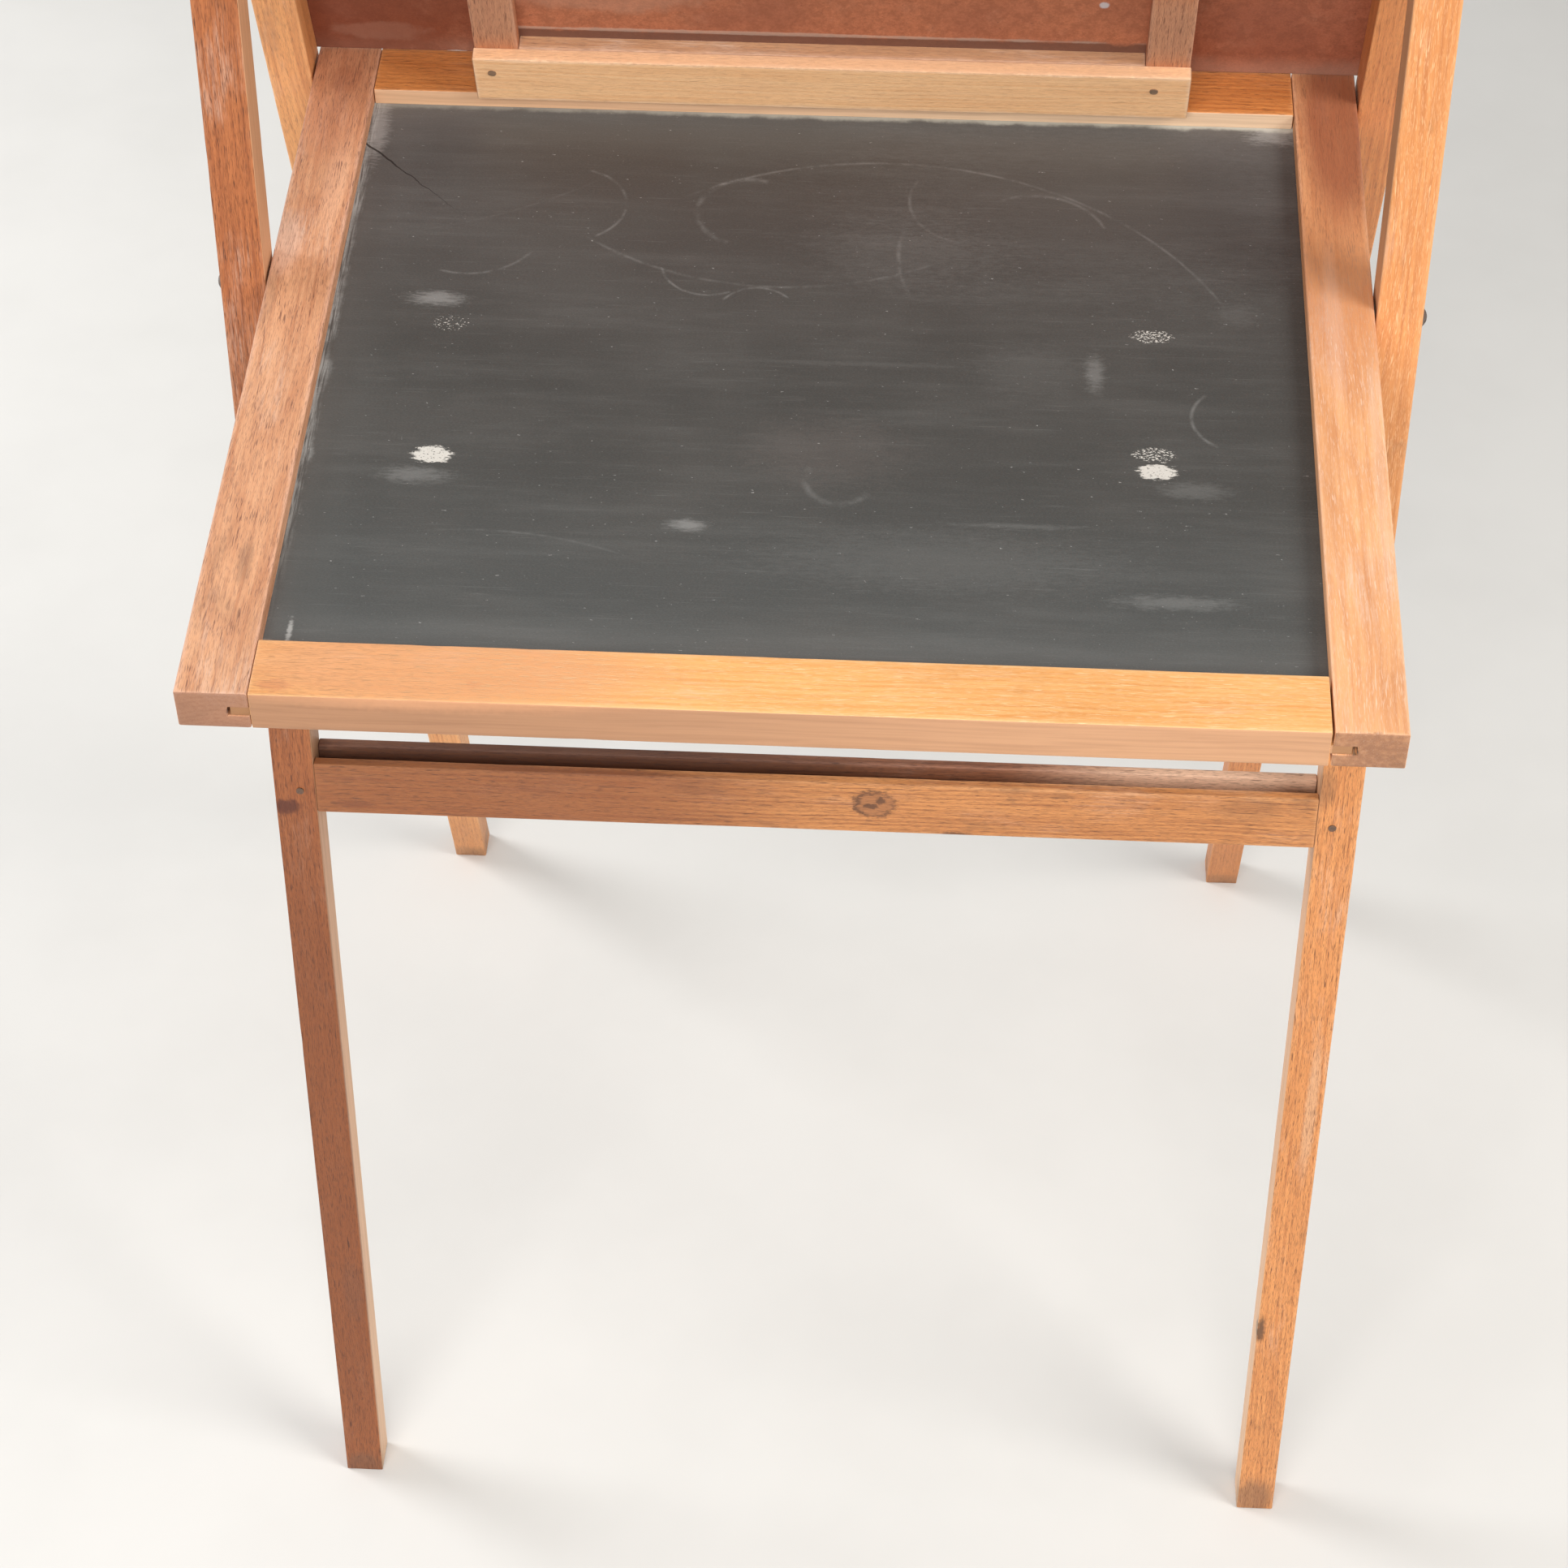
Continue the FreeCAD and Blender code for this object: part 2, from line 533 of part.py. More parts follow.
# ---- all nodes -------------------------------------------------------------------------------
def all_nodes():
    leaf_front = leaf_rail(LEAF_Y0, LEAF_Y0 + LEAF_FRONT_RAIL, False)
    leaf_back = leaf_rail(LEAF_Y1 - LEAF_BACK_RAIL, LEAF_Y1, True)
    top_s = STRIP_S + INSET_HEIGHT
    return {
        "front_left_upright": front_upright(-1),
        "front_right_upright": front_upright(1),
        "front_top_rail": front_top_rail(),
        "tray_front_board": tray_front_board(),
        "tray_back_board": tray_back_board(),
        "tray_floor": tray_floor(),
        "tray_nails": tray_nails(),
        "leaf_left_stile": leaf_stile(-1),
        "leaf_right_stile": leaf_stile(1),
        "leaf_front_rail": leaf_front,
        "leaf_back_rail": leaf_back,
        "blackboard_panel": blackboard_panel(),
        "pivot_screws": pivot_screws(),
        "pivot_washers": pivot_washers(),
        "rear_left_leg": rear_leg(-1),
        "rear_right_leg": rear_leg(1),
        "rear_top_rail": rear_top_rail(),
        "rear_stretcher": rear_stretcher(),
        "back_panel": back_panel(),
        "back_panel_nails": back_panel_nails(),
        "inset_left_stile": inset_stile(-1),
        "inset_right_stile": inset_stile(1),
        "inset_bottom_rail": inset_rail(STRIP_S, STRIP_S + STRIP_HEIGHT),
        "inset_top_rail": inset_rail(top_s - INSET_STILE, top_s),
        "inset_panel": inset_panel(),
        "stop_strip": stop_strip(),
        "stop_strip_nails": stop_strip_nails(),
        "spacer_blocks": spacer_blocks(),
        "front_hinge_plates": front_hinge_plates(),
        "rear_hinge_plates": rear_hinge_plates(),
        "hinge_pins": hinge_pins(),
        "front_hinge_screws": front_hinge_screws(),
        "rear_hinge_screws": rear_hinge_screws(),
    }


os.makedirs("parts", exist_ok=True)
for name, shape in all_nodes().items():
    shape.exportStep("parts/" + name + ".step")
    print(name, len(shape.Solids), "solids", round(shape.Volume, 1), "mm3", shape.isValid())
print("rear lean", round(math.degrees(REAR_LEAN), 3), "shift", round(SHIFT_Y, 4))
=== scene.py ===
import math

import bmesh
import bpy
from mathutils import Matrix, Vector, noise


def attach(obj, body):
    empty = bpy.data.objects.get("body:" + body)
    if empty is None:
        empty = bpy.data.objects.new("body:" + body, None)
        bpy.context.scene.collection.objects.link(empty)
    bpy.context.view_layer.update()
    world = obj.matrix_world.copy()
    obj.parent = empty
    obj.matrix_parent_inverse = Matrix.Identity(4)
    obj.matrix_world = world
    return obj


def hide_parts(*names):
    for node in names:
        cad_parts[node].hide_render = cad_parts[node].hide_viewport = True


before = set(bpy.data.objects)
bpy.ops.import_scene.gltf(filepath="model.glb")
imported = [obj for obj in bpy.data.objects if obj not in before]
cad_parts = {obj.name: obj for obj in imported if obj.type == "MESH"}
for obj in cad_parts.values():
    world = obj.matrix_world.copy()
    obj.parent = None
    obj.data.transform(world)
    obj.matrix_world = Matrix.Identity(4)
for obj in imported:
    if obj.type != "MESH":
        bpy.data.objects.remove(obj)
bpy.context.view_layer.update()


# ---- Floor, light and camera ---------------------------------------------------------------
# The easel stands on a plain pale studio floor. One wide soft lamp stands in front and high,
# a warmer one to the right of it gives the shading, and a small one lights the floor at left.
def add(tree, kind, inputs=(), **settings):
    """One node of a finish; an input is a value or another node's output."""
    node = tree.nodes.new("ShaderNode" + kind)
    for key, value in settings.items():
        setattr(node, key, value)
    for socket, value in dict(inputs).items():
        if isinstance(value, bpy.types.NodeSocket):
            tree.links.new(value, node.inputs[socket])
        else:
            node.inputs[socket].default_value = value
    return node


def moved(tree, how, *values):
    """Vector arithmetic on a place on the piece."""
    node = add(tree, "VectorMath", operation=how)
    for socket, value in enumerate(values):
        if how == "SCALE" and socket == 1:
            socket = 3
        if isinstance(value, bpy.types.NodeSocket):
            tree.links.new(value, node.inputs[socket])
        else:
            node.inputs[socket].default_value = value
    return node.outputs["Value" if how in ("LENGTH", "DOT_PRODUCT") else "Vector"]


def fade(tree, value, start, full, strength=1.0):
    """0 at start, strength at full, with soft ends."""
    node = add(tree, "MapRange", {0: value, 1: start, 2: full, 3: 0.0, 4: strength},
               interpolation_type="SMOOTHSTEP")
    return node.outputs[0]


def mottle(tree, place, stretch, detail=2.0, rough=0.5, offset=0.0):
    """Cloudy noise from 0 to 1, stretched by different amounts along three axes."""
    at = moved(tree, "MULTIPLY_ADD", place, stretch, (offset, offset * 1.7, offset * 2.3))
    return add(tree, "TexNoise", {"Vector": at, "Scale": 1.0, "Detail": detail,
                                  "Roughness": rough}).outputs[0]


def tint(tree, share, under, over, how="MIX"):
    return add(tree, "Mix", {0: share, 6: under, 7: over}, data_type="RGBA",
               blend_type=how).outputs[2]


def new_finish(name):
    material = bpy.data.materials.new(name)
    material.use_nodes = True
    tree = material.node_tree
    tree.nodes.clear()
    shader = add(tree, "BsdfPrincipled")
    add(tree, "OutputMaterial", {"Surface": shader.outputs[0]})
    return material, tree, shader


def in_mm(tree, tilt=0.0, origin=(0, 0, 0)):
    """Place on the piece in millimetres, in the tilted frame that the piece is built in."""
    place = add(tree, "TexCoord").outputs["Object"]
    if tilt:
        place = add(tree, "Mapping", {"Vector": place, "Location": origin,
                                      "Rotation": (tilt, 0, 0)}, vector_type="TEXTURE").outputs[0]
    return moved(tree, "SCALE", place, 1000.0)


FLOOR_SIZE = 14.0
FLOOR_PALE = (0.69, 0.685, 0.668, 1)
FLOOR_DULL = (0.66, 0.655, 0.638, 1)
bpy.ops.mesh.primitive_grid_add(x_subdivisions=8, y_subdivisions=8, size=FLOOR_SIZE)
floor = bpy.context.object
floor.name = "studio_floor"
material, tree, shader = new_finish("painted_floor")
place = in_mm(tree)
cloud = mottle(tree, place, (0.004, 0.004, 0.004), 4.0, 0.6)
tree.links.new(tint(tree, fade(tree, cloud, 0.35, 0.7), FLOOR_PALE, FLOOR_DULL),
               shader.inputs["Base Color"])
shader.inputs["Roughness"].default_value = 0.7
floor.data.materials.append(material)

scene = bpy.context.scene
scene.view_settings.view_transform = "Standard"
world = bpy.data.worlds.new("studio")
world.use_nodes = True
world.node_tree.nodes["Background"].inputs["Color"].default_value = (1.0, 0.985, 0.96, 1)
world.node_tree.nodes["Background"].inputs["Strength"].default_value = 0.42
scene.world = world


def soft_lamp(name, at, aim, size, power, colour):
    lamp = bpy.data.lights.new(name, "AREA")
    lamp.shape, lamp.size, lamp.energy, lamp.color = "DISK", size, power, colour
    holder = bpy.data.objects.new(name, lamp)
    scene.collection.objects.link(holder)
    holder.location = at
    holder.rotation_euler = (Vector(aim) - Vector(at)).to_track_quat("-Z", "Y").to_euler()
    holder.visible_camera = False


soft_lamp("right_lamp", (2.7, -1.5, 2.9), (0, 0, 0.7), 2.0, 94, (1.0, 0.965, 0.92))
soft_lamp("front_lamp", (-0.5, -3.5, 2.7), (0, 0, 0.7), 3.0, 122, (1.0, 0.985, 0.965))
soft_lamp("left_lamp", (-2.6, 0.8, 1.7), (-1.4, 0.4, 0), 1.4, 56, (1.0, 1.0, 1.0))

camera = bpy.data.objects.new("camera", bpy.data.cameras.new("camera"))
scene.collection.objects.link(camera)
scene.camera = camera
camera.data.sensor_width = 36.0
camera.data.lens = 84.14
camera.data.shift_y = -0.0966
CAMERA_AT = Vector((0.06054, -1.51100, 1.80292))
RIGHT = Vector((0.99853, 0.05416, -0.00098))
AHEAD = Vector((-0.04202, 0.76297, -0.64506))
up = RIGHT.cross(AHEAD)
camera.matrix_world = Matrix((
    (RIGHT.x, up.x, -AHEAD.x, CAMERA_AT.x),
    (RIGHT.y, up.y, -AHEAD.y, CAMERA_AT.y),
    (RIGHT.z, up.z, -AHEAD.z, CAMERA_AT.z),
    (0, 0, 0, 1)))


# ---- Front uprights ------------------------------------------------------------------------
# Two square oak legs, floor to top, leaning back a little. Planed, lightly rounded on the
# arrises and varnished once; the varnish is worn, the pores are dark and the feet scuffed.
SQUARE = 0.0212
LEG_INNER = 0.2552
LEG_OUTER = LEG_INNER + SQUARE
UPRIGHT_TOP = 1.134
FRONT_LEAN = math.radians(2.8)
FRONT_FOOT_Y = -0.169723
front_place = Matrix.Translation((0, FRONT_FOOT_Y, 0)) @ Matrix.Rotation(-FRONT_LEAN, 4, "X")
SIDES = ((-1, "left"), (1, "right"))
ARRIS = 0.0008                          # how far a corner is rounded
WIDEST_ARRIS = 0.0026
DEEPEST_KNOCK = 0.004
RING_EVERY = 0.008                      # a bar has a cross-section this often
FOOT_RUN = 0.05                         # the slant of a foot fades out over this height
SHARP_EDGE = math.radians(38)


def box_outline(p0, p1, q0, q1, arris=ARRIS):
    return [(p0, q0, arris), (p1, q0, arris), (p1, q1, arris), (p0, q1, arris)]


def pushed_in(outline, by):
    """The same outline, every side moved in."""
    out = []
    for k, (p, q, arris) in enumerate(outline):
        before = Vector((p, q)) - Vector(outline[k - 1][:2])
        after = Vector(outline[(k + 1) % len(outline)][:2]) - Vector((p, q))
        n1 = Vector((-before.y, before.x)).normalized()
        n2 = Vector((-after.y, after.x)).normalized()
        move = (n1 + n2) / (1 + n1.dot(n2)) * by
        out.append((p + move.x, q + move.y, arris))
    return out


def rubbed_ring(outline, wear, at, seed):
    """One cross-section: each outside corner is rounded, more where it was knocked."""
    ring = []
    for k, (p, q, arris) in enumerate(outline):
        corner = Vector((p, q))
        back = Vector(outline[k - 1][:2]) - corner
        on = Vector(outline[(k + 1) % len(outline)][:2]) - corner
        if arris == 0:
            ring.append(corner)
            continue
        room = min(WIDEST_ARRIS, 0.42 * back.length, 0.42 * on.length)
        rub = noise.noise(Vector((at * 14, k * 7.3, seed * 3.1)))
        knock = noise.noise(Vector((at * 62, k * 5.1 + 40, seed * 1.7)))
        size = arris * (1 + 0.45 * wear * rub) + DEEPEST_KNOCK * wear * max(0.0, knock - 0.48)
        size = min(size, room * 0.9)
        a, b = corner + back.normalized() * size, corner + on.normalized() * size
        ring.append(corner + back.normalized() * room)
        for s in (0, 1 / 3, 2 / 3, 1):
            ring.append(a * (1 - s) ** 2 + corner * 2 * s * (1 - s) + b * s ** 2)
        ring.append(corner + on.normalized() * room)
    return ring


def worn_bar(name, outline, along, low, high, place, wear=1.0, seed=0, foot=0.0, end=0.0004):
    """A planed bar: the outline run along one axis, with rubbed arrises and eased ends.

    foot shears the lower end, so that a leaning leg stands flat on the floor."""
    count = max(3, int((high - low) / RING_EVERY))
    stations = [(low, end), (low + end, 0)]
    stations += [(low + (high - low) * k / count, 0) for k in range(1, count)]
    stations += [(high - end, 0), (high, end)]
    axes = [k for k in range(3) if k != along]
    points, faces = [], []
    for at, inset in stations:
        ring = rubbed_ring(pushed_in(outline, inset) if inset else outline, wear, at, seed)
        for point in ring:
            spot = [0.0, 0.0, 0.0]
            spot[axes[0]], spot[axes[1]] = point
            spot[along] = at + foot * point.y * max(0.0, 1 - (at - low) / FOOT_RUN)
            points.append(spot)
    size = len(ring)
    for k in range(len(stations) - 1):
        for j in range(size):
            a, b = k * size + j, k * size + (j + 1) % size
            faces.append((a, b, b + size, a + size))
    faces.append(tuple(range(size))[::-1])
    faces.append(tuple(range(len(points) - size, len(points))))
    mesh = bpy.data.meshes.new(name)
    mesh.from_pydata(points, [], faces)
    work = bmesh.new()
    work.from_mesh(mesh)
    bmesh.ops.recalc_face_normals(work, faces=work.faces)
    work.to_mesh(mesh)
    work.free()
    mesh.shade_smooth()
    mesh.set_sharp_from_angle(angle=SHARP_EDGE)
    bar = bpy.data.objects.new(name, mesh)
    scene.collection.objects.link(bar)
    bar.matrix_world = place
    return bar


def reshaped(bar, tool, how):
    """Joins a part to a bar, or cuts it away, and drops the tool."""
    step = bar.modifiers.new("join", "BOOLEAN")
    step.operation, step.solver, step.object = how, "EXACT", tool
    bpy.context.view_layer.update()
    done = bar.evaluated_get(bpy.context.evaluated_depsgraph_get())
    mesh = bpy.data.meshes.new_from_object(done)
    bar.modifiers.clear()
    bar.data = mesh
    bpy.data.objects.remove(tool)
    mesh.set_sharp_from_angle(angle=SHARP_EDGE)


def sum_of(tree, how, *values):
    """Arithmetic on plain values."""
    return add(tree, "Math", enumerate(values), operation=how).outputs[0]


def from_spot(tree, place, middle, size):
    """How far out from a spot's middle, 1 at its rim. An axis with size 0 doesn't count."""
    shares = [1.0 / k if k else 0.0 for k in size]
    arm = moved(tree, "SUBTRACT", place, middle)
    return moved(tree, "LENGTH", moved(tree, "MULTIPLY", arm, shares))


YEAR_RING = 2.7                         # width in millimetres


def oak(name, along, low, high, seed, face, deep, pores=0.8, gloss=0.4, bleach=0.3, grime=0.3,
        pith=(35.0, 60.0), slope=(0.0, 0.02), marks=(), tilt=0.0, origin=(0, 0, 0),
        limed=None, bare_and_lit_side=None):
    """Old varnished oak. low and high are the piece's box, in its own frame, in metres.

    marks are stains, knots and patches of painted shade and painted light: place and size in
    millimetres, colour, share and, where the rim isn't soft, how hard it is, up to 1. limed is
    where along the piece the pores go from dark to filled with something pale. The last
    argument colours the side that faces one way, partly wood with little varnish left and
    partly painted light and shade on that side: the way it faces, its colours at the low and
    at the high end, and the share."""
    material, tree, shader = new_finish(name)
    axes = [k for k in range(3) if k != along] + [along]
    split = add(tree, "SeparateXYZ", {0: in_mm(tree, tilt, origin)})
    across, deepness, run = (split.outputs[k] for k in axes)
    place = add(tree, "CombineXYZ", {0: across, 1: deepness, 2: run}).outputs[0]
    own = moved(tree, "ADD", place, (seed * 37.1, seed * 17.3, seed * 211.7))
    # the tree's growth: rings round a pith that lies outside the bar and at a slight angle
    wander = add(tree, "TexNoise", {"Vector": moved(tree, "MULTIPLY", own, (0.025, 0.025, 0.005)),
                                    "Scale": 1.0, "Detail": 2.0}).outputs["Color"]
    bent = moved(tree, "MULTIPLY_ADD", moved(tree, "SUBTRACT", wander, (0.5, 0.5, 0.5)),
                 (9.0, 9.0, 0.0), place)
    turned = add(tree, "Mapping", {"Vector": bent, "Location": (pith[0], pith[1], 0),
                                   "Rotation": (slope[0], slope[1], 0)}).outputs[0]
    radius = moved(tree, "LENGTH", moved(tree, "MULTIPLY", turned, (1, 1, 0)))
    ring = sum_of(tree, "FRACT", sum_of(tree, "DIVIDE", radius, YEAR_RING))
    early = sum_of(tree, "MULTIPLY", fade(tree, ring, 0.0, 0.12), fade(tree, ring, 0.62, 0.30))
    streak = mottle(tree, bent, (0.55, 0.55, 0.012), 3.0, 0.6, seed)
    cloud = mottle(tree, own, (0.02, 0.02, 0.006), 2.0, 0.5, 3.0)
    fibre = mottle(tree, bent, (3.4, 3.4, 0.10), 2.0, 0.6, seed + 9)
    shade = sum_of(tree, "ADD", sum_of(tree, "MULTIPLY", early, 0.22),
                   fade(tree, streak, 0.35, 0.75, 0.65))
    colour = tint(tree, shade, (*face, 1), (*deep, 1))
    colour = tint(tree, fade(tree, fibre, 0.45, 0.75, 0.28), colour, (*deep, 1))
    colour = tint(tree, fade(tree, cloud, 0.45, 0.8, 0.35), colour, (0.62, 0.50, 0.42, 1),
                  "MULTIPLY")
    # open pores, short and dark, thick in the early wood
    long_pore = fade(tree, mottle(tree, bent, (2.5, 2.5, 0.13), 1.0, 0.5, seed + 2), 0.58, 0.68)
    fine_pore = fade(tree, mottle(tree, bent, (4.6, 4.6, 0.24), 1.0, 0.5, seed + 5), 0.56, 0.69)
    crowded = sum_of(tree, "MULTIPLY_ADD", early, 0.5, 0.45)
    pore = sum_of(tree, "MAXIMUM", sum_of(tree, "MULTIPLY", long_pore, crowded),
                  sum_of(tree, "MULTIPLY", fine_pore, 0.6))
    # the arrises: distance to the second nearest pair of faces
    gaps = []
    for axis, value in zip(axes, (across, deepness, run)):
        middle, half = (low[axis] + high[axis]) * 500, (high[axis] - low[axis]) * 500
        gaps.append(sum_of(tree, "SUBTRACT", half, sum_of(
            tree, "ABSOLUTE", sum_of(tree, "SUBTRACT", value, middle))))
    near = sum_of(tree, "MINIMUM", gaps[0], gaps[1])
    far = sum_of(tree, "MAXIMUM", gaps[0], gaps[1])
    edge = sum_of(tree, "MAXIMUM", near, sum_of(tree, "MINIMUM", far, gaps[2]))
    patchy = mottle(tree, own, (0.16, 0.16, 0.05), 4.0, 0.65, 7.0)
    worn = fade(tree, sum_of(tree, "MULTIPLY_ADD", patchy, -4.4, edge), 0.2, -2.6)
    colour = tint(tree, sum_of(tree, "MULTIPLY", worn, 0.55), colour,
                  (face[0] * 1.05, face[1] * 1.22, face[2] * 1.6, 1))
    # varnish gone grey and chalky in patches, and hand and floor dirt
    scuff = sum_of(tree, "MULTIPLY",
                   fade(tree, mottle(tree, own, (0.045, 0.045, 0.014), 5.0, 0.62, 11.0),
                        0.50, 0.68),
                   fade(tree, mottle(tree, bent, (1.3, 1.3, 0.05), 3.0, 0.6, 4.0), 0.36, 0.66))
    colour = tint(tree, sum_of(tree, "MULTIPLY", scuff, bleach), colour, (0.72, 0.53, 0.42, 1))
    smudge = fade(tree, mottle(tree, own, (0.05, 0.05, 0.02), 4.0, 0.65, 19.0), 0.56, 0.76)
    colour = tint(tree, sum_of(tree, "MULTIPLY", smudge, grime), colour,
                  (0.13, 0.065, 0.035, 1))
    # the side that faces one way is partly wood with the varnish gone, with hardly a dark pore
    # left, and partly painted light and shade on that side
    if bare_and_lit_side:
        way, first, last, share = bare_and_lit_side
        facing = moved(tree, "DOT_PRODUCT", add(tree, "TexCoord").outputs["Normal"], way)
        side_colour = tint(tree, fade(tree, run, low[along] * 700, high[along] * 700), (*first, 1),
                   (*last, 1))
        side_colour = tint(tree, fade(tree, streak, 0.35, 0.75, 0.30), side_colour, (0.45, 0.38, 0.34, 1),
                   "MULTIPLY")
        colour = tint(tree, fade(tree, facing, 0.6, 0.8, share), colour, side_colour)
        pore = sum_of(tree, "MULTIPLY", pore, fade(tree, facing, 0.9, 0.6))
    # stains, knots and patches of painted shade and painted light, with a rim that wanders and
    # frays along the grain
    ragged = moved(tree, "MULTIPLY_ADD", add(
        tree, "TexNoise", {"Vector": own, "Scale": 0.35, "Detail": 3.0}).outputs["Color"],
        (3.0, 3.0, 5.0), moved(tree, "SUBTRACT", place, (1.5, 1.5, 2.5)))
    torn = sum_of(tree, "SUBTRACT", mottle(tree, own, (0.6, 0.6, 0.13), 4.0, 0.7, 27.0), 0.5)
    for spot, size, paint, share, *hard in marks:
        off = from_spot(tree, ragged, [spot[k] for k in axes], [size[k] for k in axes])
        off = sum_of(tree, "MULTIPLY_ADD", torn, min(1.5, 12 / max(size)), off)
        core = 0.45 + 0.5 * sum(hard)
        colour = tint(tree, fade(tree, off, 1.15, core, share), colour, (*paint, 1))
    filling = (deep[0] * 0.30, deep[1] * 0.30, deep[2] * 0.42, 1)
    if limed:
        filling = tint(tree, fade(tree, run, *limed), filling,
                       (min(1, face[0] * 1.22), face[1] * 1.65, face[2] * 2.6, 1))
    colour = tint(tree, sum_of(tree, "MULTIPLY", pore, pores), colour, filling)
    # sawn ends drink the varnish and go dark
    sawn = fade(tree, gaps[2], 0.5, 0.2)
    colour = tint(tree, sum_of(tree, "MULTIPLY", sawn, 0.72), colour,
                  (face[0] * 0.38, face[1] * 0.345, face[2] * 0.39, 1))
    tree.links.new(colour, shader.inputs["Base Color"])
    dull = sum_of(tree, "MULTIPLY_ADD", scuff, 0.3 * bleach + 0.1, gloss)
    dull = sum_of(tree, "MULTIPLY_ADD", worn, 0.18, dull)
    dull = sum_of(tree, "MULTIPLY_ADD", sawn, 0.3, dull)
    tree.links.new(sum_of(tree, "MULTIPLY_ADD", fibre, 0.16, dull), shader.inputs["Roughness"])
    height = sum_of(tree, "SUBTRACT", sum_of(tree, "MULTIPLY", fibre, 0.35), pore)
    bump = add(tree, "Bump", {"Strength": 0.55, "Distance": 0.0002, "Height": height})
    tree.links.new(bump.outputs[0], shader.inputs["Normal"])
    return material


def fitted(piece, material, body, node):
    """Gives a piece its finish and puts it on its body in place of its solid."""
    piece.data.materials.append(material)
    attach(piece, body)
    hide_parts(node)


# the left upright is darker than the right: partly its own wood, partly painted shade from the
# leaf above
UPRIGHT_TONES_LEFT_SHADED = {-1: ((0.46, 0.150, 0.046), (0.27, 0.072, 0.020)),
                 1: ((0.72, 0.305, 0.102), (0.50, 0.175, 0.052))}
PIVOT_UP = 0.830
SCREW_HOLE = 0.00255
DRILL_LONG = 0.05
UPRIGHT_MARKS = {
    # on the left upright the first mark darkens the lower half: partly a stain, partly painted
    # shade under the leaf
    -1: [((-268, -1, 250), (36, 6, 360), (0.20, 0.056, 0.015), 0.8),
         ((-271, 2, 519.5), (9, 14, 6), (0.07, 0.012, 0.008), 0.8),
         ((-266, 0, 3), (14, 14, 15), (0.14, 0.075, 0.045), 0.5),
         ((-262, 0, 157), (7, 9, 30), (0.16, 0.07, 0.04), 0.3)],
    1: [((257, 0, 156), (3.2, 9, 12), (0.05, 0.03, 0.02), 0.8),
        ((264, 0, 10), (14, 14, 20), (0.16, 0.09, 0.055), 0.6),
        ((258, 0, 556), (6, 8, 16), (0.14, 0.06, 0.03), 0.45),
        ((270, 0, 330), (4, 8, 60), (0.66, 0.45, 0.30), 0.4)]}
for side, word in SIDES:
    x0, x1 = sorted((side * LEG_INNER, side * LEG_OUTER))
    upright = worn_bar(f"{word}_upright", box_outline(x0, x1, 0, SQUARE), 2, 0, UPRIGHT_TOP,
                       front_place, seed=side + 3, foot=math.tan(FRONT_LEAN), end=0.0007)
    bpy.ops.mesh.primitive_cylinder_add(vertices=32, radius=SCREW_HOLE, depth=DRILL_LONG)
    drill = bpy.context.object
    drill.matrix_world = (front_place @ Matrix.Translation(((x0 + x1) / 2, SQUARE / 2, PIVOT_UP))
                          @ Matrix.Rotation(math.pi / 2, 4, "Y"))
    reshaped(upright, drill, "DIFFERENCE")
    finish = oak(f"oak_{word}_upright", 2, (x0, 0, -1), (x1, SQUARE, UPRIGHT_TOP), side + 3,
                 *UPRIGHT_TONES_LEFT_SHADED[side], pores=0.95, gloss=0.42, bleach=0.35, grime=0.4,
                 pith=(28.0 * side, 44.0), marks=UPRIGHT_MARKS[side],
                 limed=(560, 760) if side > 0 else None,
                 # the inner side is paler: partly bare wood, partly painted light falling on that
                 # side
                 bare_and_lit_side=((-side, 0, 0), (0.80, 0.60, 0.41), (0.68, 0.38, 0.21), 0.88))
    fitted(upright, finish, "front_frame", f"front_{word}_upright")


# ---- Front top rail ------------------------------------------------------------------------
# The oak rail across the top of the uprights, tenoned into both. It carries the front
# plates of the hinges on its top face.
LEG_FACE, LEG_DEEP = (0.60, 0.24, 0.085), (0.36, 0.115, 0.036)
RAIL_HIGH = 0.030
SHOULDER = 0.0001                       # the gap at each joint
rail_half = LEG_INNER - SHOULDER
rail = worn_bar("front_head_rail", box_outline(0, SQUARE, UPRIGHT_TOP - RAIL_HIGH, UPRIGHT_TOP),
                0, -rail_half, rail_half, front_place, seed=11)
finish = oak("oak_front_head_rail", 0, (-rail_half, 0, UPRIGHT_TOP - RAIL_HIGH),
             (rail_half, SQUARE, UPRIGHT_TOP), 11, LEG_FACE, LEG_DEEP)
fitted(rail, finish, "front_frame", "front_top_rail")


